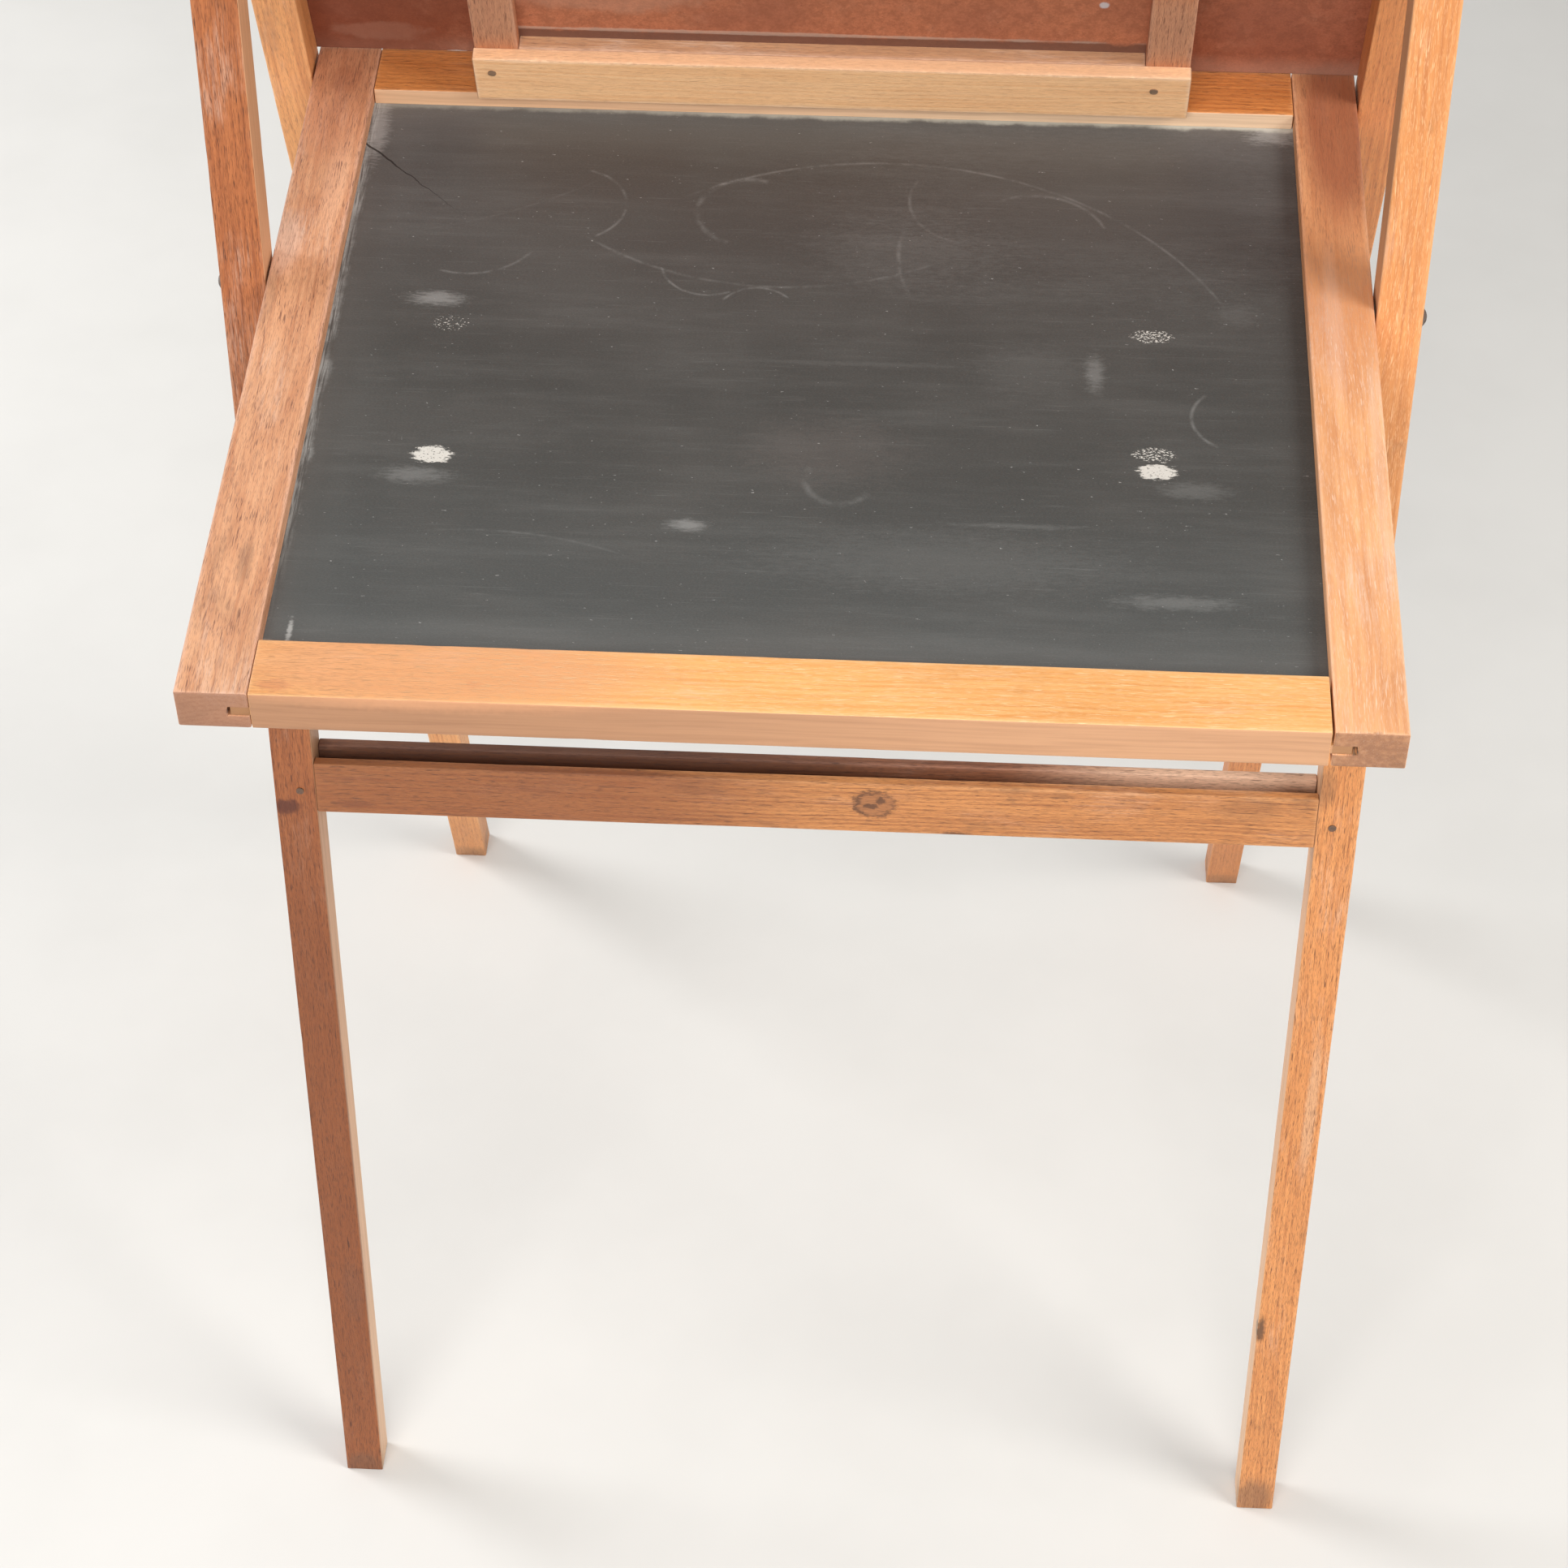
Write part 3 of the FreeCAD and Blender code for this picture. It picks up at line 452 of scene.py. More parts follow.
# ---- Chalk tray ----------------------------------------------------------------------------
# A trough for chalk between the uprights: two thin oak boards on edge and a floor strip.
# Each is tenoned into the uprights, and one wire nail holds each end of the front board.
TRAY_LOW = 0.5168
TRAY_HIGH = 0.0317
TRAY_TOP = TRAY_LOW + TRAY_HIGH
TRAY_BOARD = 0.0056
TRAY_FLOOR = 0.006
board = worn_bar("tray_front", box_outline(0, TRAY_BOARD, TRAY_LOW, TRAY_TOP, 0.0006), 0,
                 -rail_half, rail_half, front_place, wear=1.4, seed=21)
TRAY_MARKS = [((31, 0, 535.2), (10.6, 9, 8.6), (0.045, 0.016, 0.010), 0.85, 0.9),
              ((31.6, 0, 535.4), (9.3, 9, 7.4), (0.42, 0.170, 0.062), 0.92, 0.8),
              ((29, 0, 534), (3.6, 9, 2.2), (0.05, 0.02, 0.012), 0.7, 0.6),
              ((34, 0, 537.5), (2.6, 9, 3.0), (0.05, 0.02, 0.012), 0.7, 0.6),
              ((-120, 0, 549), (70, 5, 2.0), (0.09, 0.035, 0.02), 0.55),
              ((-236, 0, 523), (12, 5, 3.0), (0.10, 0.045, 0.03), 0.6),
              ((219, 0, 540), (20, 5, 9.0), (0.15, 0.07, 0.035), 0.22),
              ((72, 0, 517.4), (9, 5, 1.6), (0.05, 0.02, 0.012), 0.7),
              # the last mark darkens the left half of the board: partly the wood's own tone,
              # partly painted shade from the leaf
              ((-190, 0, 533), (190, 9, 80), (0.24, 0.064, 0.020), 0.68)]
finish = oak("oak_tray_front", 0, (-rail_half, 0, TRAY_LOW), (rail_half, TRAY_BOARD, TRAY_TOP),
             21, (0.63, 0.27, 0.088), (0.35, 0.12, 0.037), pores=0.85, gloss=0.4, bleach=0.2,
             grime=0.5, pith=(60.0, 18.0), slope=(0.0, 0.012), marks=TRAY_MARKS)
fitted(board, finish, "front_frame", "tray_front_board")
board = worn_bar("tray_back", box_outline(SQUARE - TRAY_BOARD, SQUARE, TRAY_LOW, TRAY_TOP,
                                          0.0006), 0, -rail_half, rail_half, front_place, seed=22)
# the back board's tones are darker than the front board's: painted shade inside the trough
finish = oak("oak_tray_back", 0, (-rail_half, SQUARE - TRAY_BOARD, TRAY_LOW),
             (rail_half, SQUARE, TRAY_TOP), 22, (0.34, 0.14, 0.07), (0.15, 0.055, 0.03),
             gloss=0.45, grime=0.6, bleach=0.3, pith=(50.0, 25.0),
             # the first mark darkens its left part, painted shade; the second lightens its right
             # end, a painted patch of light
             marks=[((-130, 16, 530), (190, 12, 60), (0.07, 0.028, 0.017), 0.7),
                    ((235, 16, 534), (130, 12, 60), (0.80, 0.52, 0.36), 0.88),
                    ((250, 18, 530), (16, 6, 14), (0.55, 0.47, 0.38), 0.7)])
fitted(board, finish, "front_frame", "tray_back_board")
strip = worn_bar("tray_bottom", box_outline(TRAY_BOARD, SQUARE - TRAY_BOARD, TRAY_LOW,
                                            TRAY_LOW + TRAY_FLOOR, 0.0003), 0,
                 -rail_half, rail_half, front_place, wear=0.5, seed=23)
finish = oak("oak_tray_bottom", 0, (-rail_half, TRAY_BOARD, TRAY_LOW),
             (rail_half, SQUARE - TRAY_BOARD, TRAY_LOW + TRAY_FLOOR), 23,
             (0.24, 0.11, 0.055), (0.12, 0.05, 0.025), gloss=0.6, grime=0.7)
fitted(strip, finish, "front_frame", "tray_floor")


def old_steel(name, bright, rust, share, rough):
    """Steel that has darkened, with rust in patches."""
    material, tree, shader = new_finish(name)
    place = in_mm(tree)
    patch = fade(tree, mottle(tree, place, (0.6, 0.6, 0.6), 4.0, 0.65), 0.42, 0.62, share)
    grit = mottle(tree, place, (3.0, 3.0, 3.0), 3.0, 0.6, 5.0)
    colour = tint(tree, patch, (*bright, 1), (*rust, 1))
    colour = tint(tree, fade(tree, grit, 0.4, 0.8, 0.4), colour, (0.5, 0.45, 0.42, 1), "MULTIPLY")
    tree.links.new(colour, shader.inputs["Base Color"])
    tree.links.new(sum_of(tree, "MULTIPLY_ADD", grit, 0.35, rough), shader.inputs["Roughness"])
    tree.links.new(sum_of(tree, "MULTIPLY_ADD", patch, -0.9, 0.9), shader.inputs["Metallic"])
    bump = add(tree, "Bump", {"Strength": 0.4, "Distance": 0.0001, "Height": grit})
    tree.links.new(bump.outputs[0], shader.inputs["Normal"])
    return material


def dressed(node, material):
    """Gives a solid that keeps its own shape a finish."""
    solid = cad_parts[node]
    solid.data.materials.clear()
    solid.data.materials.append(material)


wire_steel = old_steel("darkened_wire", (0.20, 0.14, 0.11), (0.17, 0.085, 0.05), 1.0, 0.5)
dressed("tray_nails", wire_steel)


# ---- Leaf: stiles --------------------------------------------------------------------------
# The two sides of the turning leaf, oak, grooved along the inner edge for the blackboard.
# The groove runs right through, so it shows in the sawn front ends.
LEAF_SLOPE = math.radians(6.3)
PIVOT = (0, -0.118591, 0.828491)
leaf_place = Matrix.Translation(PIVOT) @ Matrix.Rotation(LEAF_SLOPE, 4, "X")
LEAF_HALF = 0.254
STILE_WIDE = 0.0305
STILE_INNER = LEAF_HALF - STILE_WIDE
LEAF_HALF_THICK = 0.0103
LEAF_FRONT, LEAF_BACK = -0.269, 0.165
BOARD_TOP = 0.0018
BOARD_THICK = 0.005
BOARD_UNDER = BOARD_TOP - BOARD_THICK
GROOVE = {-1: 0.009, 1: 0.010}
STILE_TONES = {-1: ((0.72, 0.385, 0.215), (0.49, 0.205, 0.100)),
               1: ((0.84, 0.445, 0.215), (0.62, 0.265, 0.110))}
STILE_MARKS = {
    -1: [((-249, 16, 10), (9, 26, 9), (0.76, 0.56, 0.46), 0.38),
         ((-232, 60, 10), (7, 40, 9), (0.80, 0.48, 0.32), 0.35),
         ((-236, -192, 10), (4, 16, 9), (0.20, 0.10, 0.06), 0.4),
         ((-252, -20, 10), (5, 28, 9), (0.24, 0.12, 0.07), 0.35),
         ((-238, 140, 10), (9, 12, 9), (0.26, 0.075, 0.035), 0.5),
         ((-240, 125, 10), (22, 60, 9), (0.50, 0.19, 0.09), 0.55),
         # a dark streak in the groove's mouth at the front end: painted shade inside the groove
         ((-232, -269, -0.7), (1.1, 260, 3.0), (0.03, 0.015, 0.01), 0.9)],
    1: [((238, 20, 10), (26, 90, 9), (0.58, 0.23, 0.095), 0.6),
        ((235, -19, 10), (5, 60, 9), (0.80, 0.50, 0.35), 0.35),
        ((243, 125, 10), (22, 85, 9), (0.31, 0.092, 0.042), 0.85),
        ((250, -120, 10), (3, 90, 9), (0.82, 0.58, 0.42), 0.3),
        ((240, -270.6, 0), (30, 2.4, 30), (0.21, 0.075, 0.038), 0.75),
        # a dark streak in the groove's mouth at the front end: painted shade inside the groove
        ((232.6, -269, -0.7), (1.5, 260, 3.2), (0.012, 0.008, 0.006), 1.0)]}
for side, word in SIDES:
    inner, outer, bed = side * STILE_INNER, side * LEAF_HALF, side * (STILE_INNER + GROOVE[side])
    outline = [(outer, -LEAF_HALF_THICK, ARRIS), (outer, LEAF_HALF_THICK, ARRIS),
               (inner, LEAF_HALF_THICK, ARRIS), (inner, BOARD_TOP + SHOULDER, 0),
               (bed, BOARD_TOP + SHOULDER, 0), (bed, BOARD_UNDER - SHOULDER, 0),
               (inner, BOARD_UNDER - SHOULDER, 0), (inner, -LEAF_HALF_THICK, ARRIS)]
    if side < 0:
        outline.reverse()
    stile = worn_bar(f"{word}_stile", outline, 1, LEAF_FRONT, LEAF_BACK, leaf_place, wear=1.2,
                     seed=side + 32, end=0.0005)
    x0, x1 = sorted((inner, outer))
    finish = oak(f"oak_{word}_stile", 1, (x0, LEAF_FRONT, -LEAF_HALF_THICK),
                 (x1, LEAF_BACK, LEAF_HALF_THICK), side + 32, *STILE_TONES[side],
                 pores=0.65 - 0.15 * side, gloss=0.5, bleach=0.5, grime=0.3,
                 pith=(-240.0 * side, 24.0),
                 slope=(0.04, 0.012), marks=STILE_MARKS[side],
                 limed=(60, -60) if side > 0 else None)
    fitted(stile, finish, "leaf", f"leaf_{word}_stile")


# ---- Leaf: rails ---------------------------------------------------------------------------
# Front and back rails of the leaf, with a tongue at each end glued into the stiles' grooves
# and a groove for the blackboard. The front rail keeps its yellow varnish.
FRONT_RAIL = 0.0317
BACK_RAIL = 0.033
RAIL_GROOVE = 0.009
TONGUE = 0.008
TONGUE_ROOT = 0.004
OPEN_JOINTS = (0.0003, 0.0010)          # the front rail's shoulders have drawn away a little
TIGHT_JOINTS = (0.0002, 0.0003)


def leaf_rail(name, front, back, grooved_front, gaps, seed):
    """A rail grooved on its front or its back edge, with a tongue at each end."""
    shoulder = STILE_INNER - SHOULDER
    z0, z1 = BOARD_UNDER - SHOULDER, BOARD_TOP + SHOULDER
    t = LEAF_HALF_THICK
    if grooved_front:
        outline = [(back, -t, ARRIS), (back, t, ARRIS), (front, t, ARRIS), (front, z1, 0),
                   (front + RAIL_GROOVE, z1, 0), (front + RAIL_GROOVE, z0, 0), (front, z0, 0),
                   (front, -t, ARRIS)]
        tongue_span = (front + RAIL_GROOVE, back - ARRIS)
    else:
        outline = [(front, -t, ARRIS), (back, -t, ARRIS), (back, z0, 0),
                   (back - RAIL_GROOVE, z0, 0), (back - RAIL_GROOVE, z1, 0), (back, z1, 0),
                   (back, t, ARRIS), (front, t, ARRIS)]
        tongue_span = (front + ARRIS, back - RAIL_GROOVE)
    rail = worn_bar(name, outline, 0, gaps[0] - shoulder, shoulder - gaps[1], leaf_place,
                    wear=1.1, seed=seed, end=0.0003)
    for side in (-1, 1):
        x0, x1 = sorted((side * (shoulder - TONGUE_ROOT), side * (shoulder + TONGUE)))
        tongue = worn_bar("tongue", box_outline(*tongue_span, BOARD_UNDER, BOARD_TOP, 0.0002),
                          0, x0, x1, leaf_place, wear=0.2, seed=5, end=0.0002)
        reshaped(rail, tongue, "UNION")
    return rail


rail_box = [(-STILE_INNER, LEAF_FRONT, -LEAF_HALF_THICK),
            (STILE_INNER, LEAF_FRONT + FRONT_RAIL, LEAF_HALF_THICK)]
rail = leaf_rail("front_rail", LEAF_FRONT, LEAF_FRONT + FRONT_RAIL, False, OPEN_JOINTS, 41)
finish = oak("oak_front_rail", 0, *rail_box, 41, (0.85, 0.455, 0.170), (0.70, 0.30, 0.082),
             pores=0.55, gloss=0.3, bleach=0.35, grime=0.15, pith=(70.0, 22.0),
             slope=(0.0, 0.006), limed=(-260, 20),
             marks=[((-130.5, -259, 10), (3.5, 2.6, 9), (0.48, 0.15, 0.05), 0.5),
                    ((-213, -263, 10), (8, 4, 9), (0.42, 0.11, 0.04), 0.55),
                    ((-150, -250, 10), (110, 30, 9), (0.68, 0.33, 0.165), 0.75)],
             # its front face is darker and grows lighter to the right: partly bare wood, partly
             # painted shade on that face
             bare_and_lit_side=((0, -1, 0), (0.375, 0.187, 0.098), (0.56, 0.30, 0.162), 0.95))
fitted(rail, finish, "leaf", "leaf_front_rail")

rail_box = [(-STILE_INNER, LEAF_BACK - BACK_RAIL, -LEAF_HALF_THICK),
            (STILE_INNER, LEAF_BACK, LEAF_HALF_THICK)]
rail = leaf_rail("back_rail", LEAF_BACK - BACK_RAIL, LEAF_BACK, True, TIGHT_JOINTS, 42)
finish = oak("oak_back_rail", 0, *rail_box, 42, (0.77, 0.31, 0.090), (0.48, 0.150, 0.036),
             pores=0.7, gloss=0.3, bleach=0.12, grime=0.2, pith=(30.0, 16.0),
             slope=(0.0, 0.03),
             # its front face, under the strip, is paler: partly bare wood, partly painted light
             # on that face
             bare_and_lit_side=((0, -1, 0), (0.74, 0.47, 0.29), (0.74, 0.55, 0.38), 0.9))
fitted(rail, finish, "leaf", "leaf_back_rail")


# ---- Blackboard ----------------------------------------------------------------------------
# A 5 mm board painted with blackboard paint, loose in the leaf's grooves. Years of chalk are
# rubbed into it, dust lies along the back and left edges, and one corner has cracked.
BOARD_HALF = STILE_INNER + TONGUE
BOARD_FRONT = LEAF_FRONT + FRONT_RAIL - TONGUE
BOARD_BACK = LEAF_BACK - BACK_RAIL + TONGUE
CHALK = (0.62, 0.63, 0.62, 1)
board = worn_bar("blackboard", box_outline(BOARD_FRONT, BOARD_BACK, BOARD_UNDER, BOARD_TOP,
                                           0.0002), 0, -BOARD_HALF, BOARD_HALF, leaf_place,
                 wear=0.2, seed=51)
material, tree, shader = new_finish("blackboard_paint")
place = in_mm(tree)
split = add(tree, "SeparateXYZ", {0: place})
x, y = split.outputs[0], split.outputs[1]
grain = mottle(tree, place, (0.9, 2.6, 1.0), 4.0, 0.7, 1.0)
wiped = mottle(tree, place, (0.007, 0.060, 1.0), 5.0, 0.72, 4.0)
scratched = mottle(tree, place, (0.035, 1.5, 1.0), 3.0, 0.6, 9.0)
cloud = mottle(tree, place, (0.011, 0.014, 1.0), 4.0, 0.62, 8.0)
colour = tint(tree, fade(tree, y, -80.0, 90.0), (0.045, 0.048, 0.046, 1),
              (0.054, 0.050, 0.047, 1))
colour = tint(tree, fade(tree, y, -110.0, -190.0), colour, (0.056, 0.061, 0.060, 1))
colour = tint(tree, fade(tree, cloud, 0.40, 0.72, 0.55), colour, (0.066, 0.065, 0.061, 1))
colour = tint(tree, fade(tree, wiped, 0.42, 0.80, 0.040), colour, CHALK)
colour = tint(tree, fade(tree, grain, 0.35, 0.85, 0.060), colour, CHALK)
colour = tint(tree, fade(tree, scratched, 0.60, 0.78, 0.070), colour, CHALK)

ragged_dust = mottle(tree, place, (0.06, 0.06, 1.0), 5.0, 0.68, 2.0)
brushed = fade(tree, mottle(tree, place, (1.4, 0.06, 1.0), 3.0, 0.6, 6.0), 0.36, 0.60)
spread_x = sum_of(tree, "MULTIPLY_ADD", ragged_dust, 11.0, x)
spread_y = sum_of(tree, "MULTIPLY_ADD", ragged_dust, -7.0, y)
left_dust = sum_of(tree, "MULTIPLY", sum_of(tree, "MULTIPLY", brushed, fade(
    tree, y, -230.0, -120.0)), fade(tree, spread_x, -212.5, -218.5, 0.62))
back_dust = sum_of(tree, "MULTIPLY", fade(tree, spread_y, 124.5, 128.3),
                   fade(tree, x, -400.0, 100.0, 0.80))
for dust, hue in ((fade(tree, spread_x, -180.0, -222.0, 0.055), CHALK),
                  (fade(tree, spread_y, 84.0, 126.0, 0.075), CHALK),
                  (left_dust, (0.52, 0.56, 0.56, 1)), (back_dust, (0.55, 0.56, 0.50, 1)),
                  (fade(tree, spread_y, -205.0, -232.0, 0.05), CHALK)):
    colour = tint(tree, dust, colour, hue)

# half-rubbed strokes: middle, radius, from and to angle, width, strength; none spells anything
broken = fade(tree, mottle(tree, place, (0.10, 0.10, 1.0), 5.0, 0.7, 12.0), 0.34, 0.66)
strokes = [((30, -78), 175, 28, 122, 1.5, 0.20), ((-20, 150), 145, 232, 300, 1.6, 0.16),
           ((-165, 42), 34, 250, 330, 1.4, 0.20), ((-120, 60), 26, 300, 75, 1.5, 0.22),
           ((-36, 58), 24, 70, 250, 2.6, 0.20), ((-52, 20), 22, 190, 300, 1.3, 0.28),
           ((-28, -14), 18, 40, 150, 1.3, 0.26), ((190, -75), 20, 130, 245, 1.6, 0.24),
           ((70, 70), 30, 150, 260, 1.6, 0.16), ((100, 42), 34, 20, 120, 1.8, 0.18),
           ((96, 30), 60, 165, 205, 2.2, 0.18), ((-250, 260), 230, 288, 306, 1.2, 0.16),
           ((15, -122), 15, 150, 330, 3.2, 0.16), ((-140, -330), 170, 66, 96, 1.2, 0.14)]
for middle, reach, start, stop, width, strength in strokes:
    arm = moved(tree, "MULTIPLY", moved(tree, "SUBTRACT", place, (*middle, 0)), (1, 1, 0))
    off = sum_of(tree, "ABSOLUTE", sum_of(tree, "SUBTRACT", moved(tree, "LENGTH", arm), reach))
    half = math.radians((stop - start) % 360) / 2
    aim = math.radians(start) + half
    lean = sum_of(tree, "DIVIDE", moved(tree, "DOT_PRODUCT", arm,
                                        (math.cos(aim), math.sin(aim), 0)), reach)
    line = sum_of(tree, "MULTIPLY", fade(tree, off, width * 0.85, 0.0),
                  fade(tree, lean, math.cos(half) - 0.03, math.cos(half) + 0.05, strength * 0.6))
    colour = tint(tree, sum_of(tree, "MULTIPLY", line, broken), colour, CHALK)

# rubbed smears and the marks where something has been stuck down and pulled off
patches = [((-176, -10), (15, 5.5), 0.24, CHALK), ((-50, -153), (10, 4), 0.22, CHALK),
           ((127, -48), (5, 14), 0.13, CHALK), ((96, -46), (26, 20), 0.03, CHALK),
           ((10, -104), (42, 26), 0.08, (0.30, 0.24, 0.22, 1)),
           ((-172, -127), (18, 6), 0.13, CHALK), ((170, -122), (18, 6), 0.08, CHALK),
           ((60, -170), (90, 22), 0.04, CHALK), ((160, -190), (30, 5), 0.10, CHALK),
           ((-219, 112), (6, 26), 0.30, CHALK), ((214, 126), (14, 8), 0.30, CHALK),
           ((-213, -224), (1.3, 8), 0.55, CHALK), ((-222, -233), (5, 4), 0.35, CHALK),
           ((95, -147), (34, 2), 0.06, CHALK), ((20, -46), (60, 2), 0.035, CHALK),
           ((192, -5), (12, 9), 0.035, CHALK), ((140, 75), (150, 80), 0.035, CHALK),
           ((40, 30), (50, 30), 0.03, CHALK)]
torn = sum_of(tree, "SUBTRACT", mottle(tree, place, (0.20, 0.75, 1.0), 5.0, 0.75, 23.0), 0.5)
for middle, size, share, hue in patches:
    off = sum_of(tree, "MULTIPLY_ADD", torn, 2.2,
                 from_spot(tree, place, (*middle, 0), (*size, 0)))
    colour = tint(tree, fade(tree, off, 1.2, 0.2, share), colour, hue)
# old white paint that has flaked: the two solid daubs and the three that are only crumbs
WHITE_PAINT = (0.60, 0.59, 0.55, 1)
daubs = [((-165.5, -114), (9.0, 5.6), 0.37), ((154, -110.5), (9.0, 4.6), 0.36),
         ((153, -99.5), (9.5, 4.4), 0.535), ((153, -21.5), (9.5, 4.2), 0.53),
         ((-168, -27), (8.5, 5.4), 0.60)]
flakes = mottle(tree, place, (0.75, 1.25, 1.0), 3.0, 0.6, 21.0)
for middle, size, lost in daubs:
    off = sum_of(tree, "MULTIPLY_ADD", torn, 1.7,
                 from_spot(tree, place, (*middle, 0), (*size, 0)))
    daub = sum_of(tree, "MULTIPLY", fade(tree, off, 1.05, 0.85),
                  fade(tree, flakes, lost, lost + 0.035))
    colour = tint(tree, daub, colour, WHITE_PAINT)
specks = fade(tree, mottle(tree, place, (0.33, 0.75, 1.0), 3.0, 0.6, 30.0), 0.70, 0.76, 0.45)
colour = tint(tree, specks, colour, CHALK)
# the crack: from the left edge, thinning out towards the middle
CRACK_FROM, CRACK_TO = Vector((-224.0, 101.0, 0)), Vector((-163.0, 43.0, 0))
way = (CRACK_TO - CRACK_FROM).normalized()
jog = mottle(tree, place, (0.07, 0.07, 1.0), 3.0, 0.6, 17.0)
arm = moved(tree, "SUBTRACT", place, CRACK_FROM)
along = moved(tree, "DOT_PRODUCT", arm, way)
aside = moved(tree, "DOT_PRODUCT", arm, (-way.y, way.x, 0))
aside = sum_of(tree, "MULTIPLY_ADD", sum_of(tree, "SUBTRACT", jog, 0.5), 4.0, aside)
width = fade(tree, along, 92.0, -10.0, 0.5)
line = sum_of(tree, "LESS_THAN", sum_of(tree, "ABSOLUTE", aside), width)
crack = sum_of(tree, "MULTIPLY", line, fade(tree, along, 84.0, 60.0, 0.85))
colour = tint(tree, crack, colour, (0.012, 0.011, 0.011, 1))
tree.links.new(colour, shader.inputs["Base Color"])
tree.links.new(sum_of(tree, "MULTIPLY_ADD", cloud, 0.25, 0.45), shader.inputs["Roughness"])
height = sum_of(tree, "SUBTRACT", grain, sum_of(tree, "MULTIPLY", crack, 3.0))
bump = add(tree, "Bump", {"Strength": 0.35, "Distance": 0.00012, "Height": height})
tree.links.new(bump.outputs[0], shader.inputs["Normal"])
fitted(board, material, "leaf", "blackboard_panel")


# ---- Pivot screws and washers --------------------------------------------------------------
# Two round-head steel screws go through the uprights into the stiles, with a thin washer in
# each gap. The leaf turns on them.
pivot_steel = old_steel("pivot_steel", (0.22, 0.19, 0.17), (0.12, 0.055, 0.03), 0.6, 0.38)
dressed("pivot_screws", pivot_steel)
dressed("pivot_washers", pivot_steel)


# ---- Rear legs -----------------------------------------------------------------------------
# Two more square oak legs, hinged at the top and leaning the other way. Made like the
# uprights, with feet cut to the floor.
REAR_LEAN = math.radians(21.88672)
REAR_FOOT = (0, 0.36425, 0)
REAR_TOP = 1.219985
rear_place = Matrix.Translation(REAR_FOOT) @ Matrix.Rotation(REAR_LEAN, 4, "X")
REAR_TONES = {-1: ((0.84, 0.40, 0.150), (0.62, 0.24, 0.080)),
              1: ((0.74, 0.30, 0.098), (0.52, 0.165, 0.050))}
for side, word in SIDES:
    x0, x1 = sorted((side * LEG_INNER, side * LEG_OUTER))
    leg = worn_bar(f"{word}_rear_leg", box_outline(x0, x1, 0, SQUARE), 2, 0, REAR_TOP,
                   rear_place, seed=side + 62, foot=-math.tan(REAR_LEAN), end=0.0007)
    finish = oak(f"oak_{word}_rear_leg", 2, (x0, 0, -1), (x1, SQUARE, REAR_TOP), side + 62,
                 *REAR_TONES[side], pores=0.5, gloss=0.4, bleach=0.3, grime=0.3,
                 pith=(40.0 * side, 30.0), slope=(0.01, 0.015),
                 marks=[((side * 266, 10, 20), (30, 30, 60), (0.50, 0.20, 0.072), 0.50),
                        ((side * 266, 10, 6), (20, 20, 12), (0.20, 0.12, 0.07), 0.5)])
    fitted(leg, finish, "rear_frame", f"rear_{word}_leg")


# ---- Rear top rail and stretcher -----------------------------------------------------------
# Two oak rails hold the rear legs apart: one at the top for the hinges, one low down, out of
# the leaf's way when the easel is folded.
STRETCHER_LOW = 0.679285
STRETCHER_HIGH = 0.0317
for word, low, high, node, seed in (
        ("rear_head_rail", REAR_TOP - RAIL_HIGH, REAR_TOP, "rear_top_rail", 71),
        ("stretcher", STRETCHER_LOW, STRETCHER_LOW + STRETCHER_HIGH, "rear_stretcher", 72)):
    rail = worn_bar(word, box_outline(0, SQUARE, low, high), 0, -rail_half, rail_half,
                    rear_place, seed=seed)
    finish = oak("oak_" + word, 0, (-rail_half, 0, low), (rail_half, SQUARE, high), seed,
                 LEG_FACE, LEG_DEEP, pith=(40.0, 50.0))
    fitted(rail, finish, "rear_frame", node)


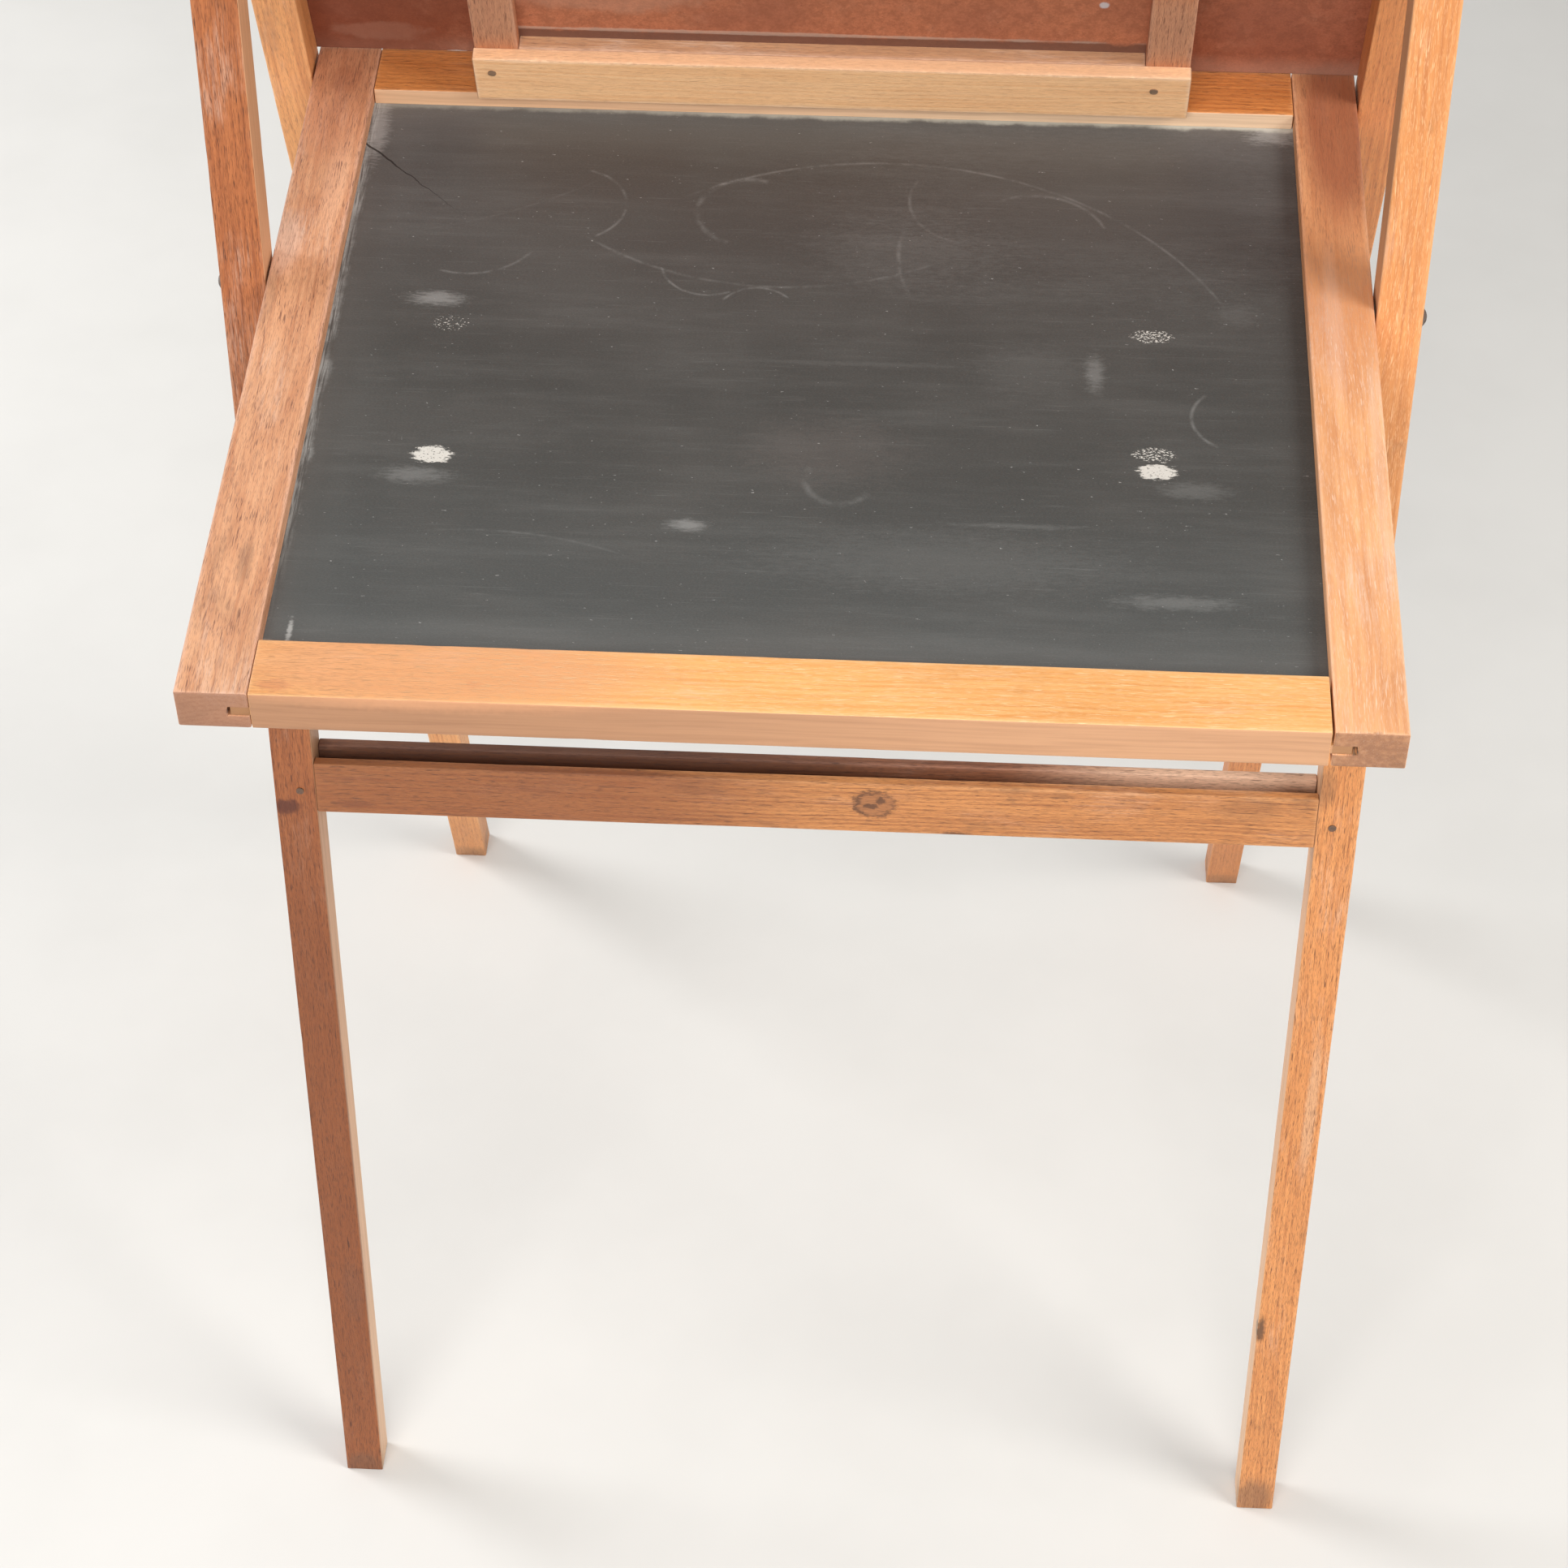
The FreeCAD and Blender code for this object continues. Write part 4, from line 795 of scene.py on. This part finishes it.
# ---- Back panel ----------------------------------------------------------------------------
# A sheet of brown fibreboard, 3 mm thick, nailed on the backs of the rear legs from the top
# rail down to the leaf. Its face is rubbed and dusty, its edges are fluffy.
def fibreboard(name, low, seed, dark, pale, marks=()):
    """Brown hardboard. It is frayed and dusty just above low, a height in metres."""
    material, tree, shader = new_finish(name)
    dark_crease = [0.62 * k for k in dark] + [1]
    place = in_mm(tree)
    own = moved(tree, "ADD", place, (seed * 91.0, 0, seed * 53.0))
    pulp = mottle(tree, own, (0.9, 0.9, 0.9), 5.0, 0.75, 1.0)
    cloud = mottle(tree, own, (0.012, 0.012, 0.016), 5.0, 0.6, 3.0)
    blot = mottle(tree, own, (0.05, 0.05, 0.05), 5.0, 0.7, 6.0)
    colour = tint(tree, fade(tree, pulp, 0.3, 0.7), (*dark, 1), (*pale, 1))
    colour = tint(tree, fade(tree, cloud, 0.42, 0.7, 0.45), colour, (0.25, 0.075, 0.042, 1))
    colour = tint(tree, fade(tree, blot, 0.52, 0.75, 0.22), colour, (0.46, 0.22, 0.14, 1))
    leather = mottle(tree, own, (0.16, 0.16, 0.16), 5.0, 0.78, 33.0)
    colour = tint(tree, fade(tree, leather, 0.58, 0.40, 0.42), colour, dark_crease)
    fleck = fade(tree, mottle(tree, own, (0.5, 0.5, 0.5), 2.0, 0.5, 14.0), 0.70, 0.75, 0.5)
    colour = tint(tree, fleck, colour, (0.13, 0.045, 0.028, 1))
    split = add(tree, "SeparateXYZ", {0: place})
    up = sum_of(tree, "MULTIPLY_ADD", blot, 14.0, split.outputs[2])
    colour = tint(tree, fade(tree, up, low * 1000 + 24, low * 1000 + 8, 0.35), colour,
                  (0.50, 0.33, 0.25, 1))
    torn = sum_of(tree, "SUBTRACT", blot, 0.5)
    for spot, size, paint, share in marks:
        off = sum_of(tree, "MULTIPLY_ADD", torn, 1.6, from_spot(tree, place, spot, size))
        colour = tint(tree, fade(tree, off, 1.1, 0.6, share), colour, (*paint, 1))
    tree.links.new(colour, shader.inputs["Base Color"])
    tree.links.new(sum_of(tree, "MULTIPLY_ADD", cloud, 0.3, 0.5), shader.inputs["Roughness"])
    bump = add(tree, "Bump", {"Strength": 0.35, "Distance": 0.0002, "Height": pulp})
    tree.links.new(bump.outputs[0], shader.inputs["Normal"])
    return material


PANEL_THICK = 0.003
PANEL_MARGIN = 0.001
PANEL_HALF = LEG_OUTER - PANEL_MARGIN
PANEL_LOW, PANEL_TOP = 0.9152, REAR_TOP - 2 * PANEL_MARGIN
panel = worn_bar("back_sheet", box_outline(SQUARE, SQUARE + PANEL_THICK, PANEL_LOW, PANEL_TOP,
                                           0.0004), 0, -PANEL_HALF, PANEL_HALF, rear_place,
                 wear=1.0, seed=81)
finish = fibreboard("brown_fibreboard", PANEL_LOW, 81, (0.29, 0.088, 0.044),
                    (0.39, 0.130, 0.068),
                    [((207, 21, 947), (30, 1.8, 26), (0.22, 0.07, 0.042), 0.35),
                     # the second mark darkens the left part of the sheet beside the small frame:
                     # painted shadow
                     ((-235, 21, 955), (80, 1.8, 70), (0.19, 0.045, 0.020), 0.55),
                     ((-221, 21, 930), (26, 1.8, 8), (0.50, 0.30, 0.22), 0.22)])
fitted(panel, finish, "rear_frame", "back_panel")
dressed("back_panel_nails", wire_steel)


# ---- Small frame ---------------------------------------------------------------------------
# A light oak frame with a fibreboard panel, held off the back panel on four blocks. The
# panel sits in a rebate behind the frame's lip, and chalk dust has gathered along it.
INSET_HALF = 0.171
INSET_SIDE = 0.0212
INSET_FRONT = -0.007680
INSET_THICK = 0.014
INSET_BACK = INSET_FRONT + INSET_THICK
INSET_LOW = 0.925324
INSET_TALL = 0.165
INSET_TOP = INSET_LOW + INSET_TALL
STRIP_HIGH = 0.0317
REBATE = 0.006
RECESS = 0.0075
RAIL_CLEAR = 0.00005
PANEL_CLEAR = 0.0003
lip = INSET_FRONT + RECESS
SMALL_FACE, SMALL_DEEP = (0.56, 0.235, 0.112), (0.38, 0.13, 0.058)
for side, word in SIDES:
    outer, inner, bed = (side * k for k in (INSET_HALF, INSET_HALF - INSET_SIDE,
                                            INSET_HALF - INSET_SIDE + REBATE))
    outline = [(outer, INSET_BACK, ARRIS), (outer, INSET_FRONT, ARRIS),
               (inner, INSET_FRONT, ARRIS), (inner, lip, 0), (bed, lip, 0),
               (bed, INSET_BACK, 0.0003)]
    if side > 0:
        outline.reverse()
    stile = worn_bar(f"small_{word}_stile", outline, 2, INSET_LOW, INSET_TOP, rear_place,
                     seed=side + 92)
    x0, x1 = sorted((inner, outer))
    finish = oak(f"oak_small_{word}_stile", 2, (x0, INSET_FRONT, INSET_LOW),
                 (x1, INSET_BACK, INSET_TOP), side + 92, SMALL_FACE, SMALL_DEEP, pores=0.7,
                 gloss=0.5, bleach=0.6, grime=0.3, pith=(60.0 * side, 30.0),
                 marks=[((side * 160, -8, 985), (26, 8, 30), (0.55, 0.33, 0.22), 0.35)])
    fitted(stile, finish, "rear_frame", f"inset_{word}_stile")
rail_end = INSET_HALF - INSET_SIDE - RAIL_CLEAR
for word, low, high, bed, node, seed in (
        ("small_bottom_rail", INSET_LOW, INSET_LOW + STRIP_HIGH,
         INSET_LOW + STRIP_HIGH - REBATE, "inset_bottom_rail", 95),
        ("small_top_rail", INSET_TOP - INSET_SIDE, INSET_TOP,
         INSET_TOP - INSET_SIDE + REBATE, "inset_top_rail", 96)):
    if bed < (low + high) / 2:
        outline = [(INSET_FRONT, low, ARRIS), (lip, low, 0), (lip, bed, 0),
                   (INSET_BACK, bed, 0.0003), (INSET_BACK, high, ARRIS),
                   (INSET_FRONT, high, ARRIS)]
    else:
        outline = [(INSET_FRONT, low, ARRIS), (INSET_BACK, low, ARRIS),
                   (INSET_BACK, bed, 0.0003), (lip, bed, 0), (lip, high, 0),
                   (INSET_FRONT, high, ARRIS)]
    rail = worn_bar(word, outline, 0, -rail_end, rail_end, rear_place, seed=seed)
    finish = oak("oak_" + word, 0, (-rail_end, INSET_FRONT, low), (rail_end, INSET_BACK, high),
                 seed, (0.58, 0.32, 0.175), (0.42, 0.20, 0.10), pores=0.5, bleach=0.5,
                 pith=(40.0, 50.0))
    fitted(rail, finish, "rear_frame", node)
panel_half = INSET_HALF - INSET_SIDE + REBATE - PANEL_CLEAR
panel_low = INSET_LOW + STRIP_HIGH - REBATE + PANEL_CLEAR
panel_high = INSET_TOP - INSET_SIDE + REBATE - PANEL_CLEAR
panel = worn_bar("small_panel", box_outline(lip, lip + PANEL_THICK, panel_low, panel_high,
                                            0.0002), 0, -panel_half, panel_half,
                 rear_place, wear=0.3, seed=97)
shown_low = INSET_LOW + STRIP_HIGH
finish = fibreboard("small_fibreboard", shown_low - REBATE, 97,
                    (0.38, 0.120, 0.055), (0.52, 0.180, 0.088),
                    # the first mark is a painted shadow along the panel's foot, just above the
                    # bottom rail
                    [((0, 0, shown_low * 1000 + 2.0), (400, 9, 5.6), (0.11, 0.045, 0.03), 0.8),
                     ((-40, 0, shown_low * 1000 + 7.0), (170, 9, 1.5), (0.56, 0.42, 0.34), 0.45),
                     ((128, 0, 993), (2.4, 9, 2.4), (0.56, 0.58, 0.60), 0.7),
                     ((-110, 0, 990), (60, 9, 14), (0.50, 0.27, 0.18), 0.35)])
fitted(panel, finish, "rear_frame", "inset_panel")
finish = oak("oak_spacers", 2, (-INSET_HALF, INSET_BACK, INSET_LOW),
             (INSET_HALF, SQUARE, INSET_TOP), 98, SMALL_FACE, SMALL_DEEP, gloss=0.6,
             tilt=REAR_LEAN, origin=REAR_FOOT)
dressed("spacer_blocks", finish)


# ---- Stop strip ----------------------------------------------------------------------------
# A newer, paler strip across the foot of the small frame, held by two wire nails. The leaf's
# back rail lies just below it.
STRIP_HALF = INSET_HALF + 0.0005
STRIP_FRONT = -0.014680
strip = worn_bar("stop_bar", box_outline(STRIP_FRONT, INSET_FRONT, INSET_LOW,
                                         INSET_LOW + STRIP_HIGH, 0.0005), 0,
                 -STRIP_HALF, STRIP_HALF, rear_place, wear=1.3, seed=101)
finish = oak("pale_stop_bar", 0, (-STRIP_HALF, STRIP_FRONT, INSET_LOW),
             (STRIP_HALF, INSET_FRONT, INSET_LOW + STRIP_HIGH), 101, (0.95, 0.595, 0.32),
             (0.86, 0.46, 0.215), pores=0.3, gloss=0.5, bleach=0.12, grime=0.08,
             pith=(22.0, 90.0), slope=(0.0, 0.02),
             marks=[((0, -11, 957.2), (300, 9, 1.2), (0.74, 0.43, 0.25), 0.75)])
fitted(strip, finish, "rear_frame", "stop_strip")
worn_wire = old_steel("worn_wire", (0.40, 0.29, 0.20), (0.33, 0.19, 0.11), 1.0, 0.5)
dressed("stop_strip_nails", worn_wire)


# ---- Top hinges ----------------------------------------------------------------------------
# Two steel butt hinges screwed on the frames' top rails, each with three knuckles, a loose
# pin and countersunk screws.
hinge_steel = old_steel("dull_hinge_steel", (0.42, 0.40, 0.37), (0.20, 0.10, 0.055), 0.5, 0.36)
for node in ("front_hinge_plates", "rear_hinge_plates", "hinge_pins", "front_hinge_screws",
             "rear_hinge_screws"):
    dressed(node, hinge_steel)
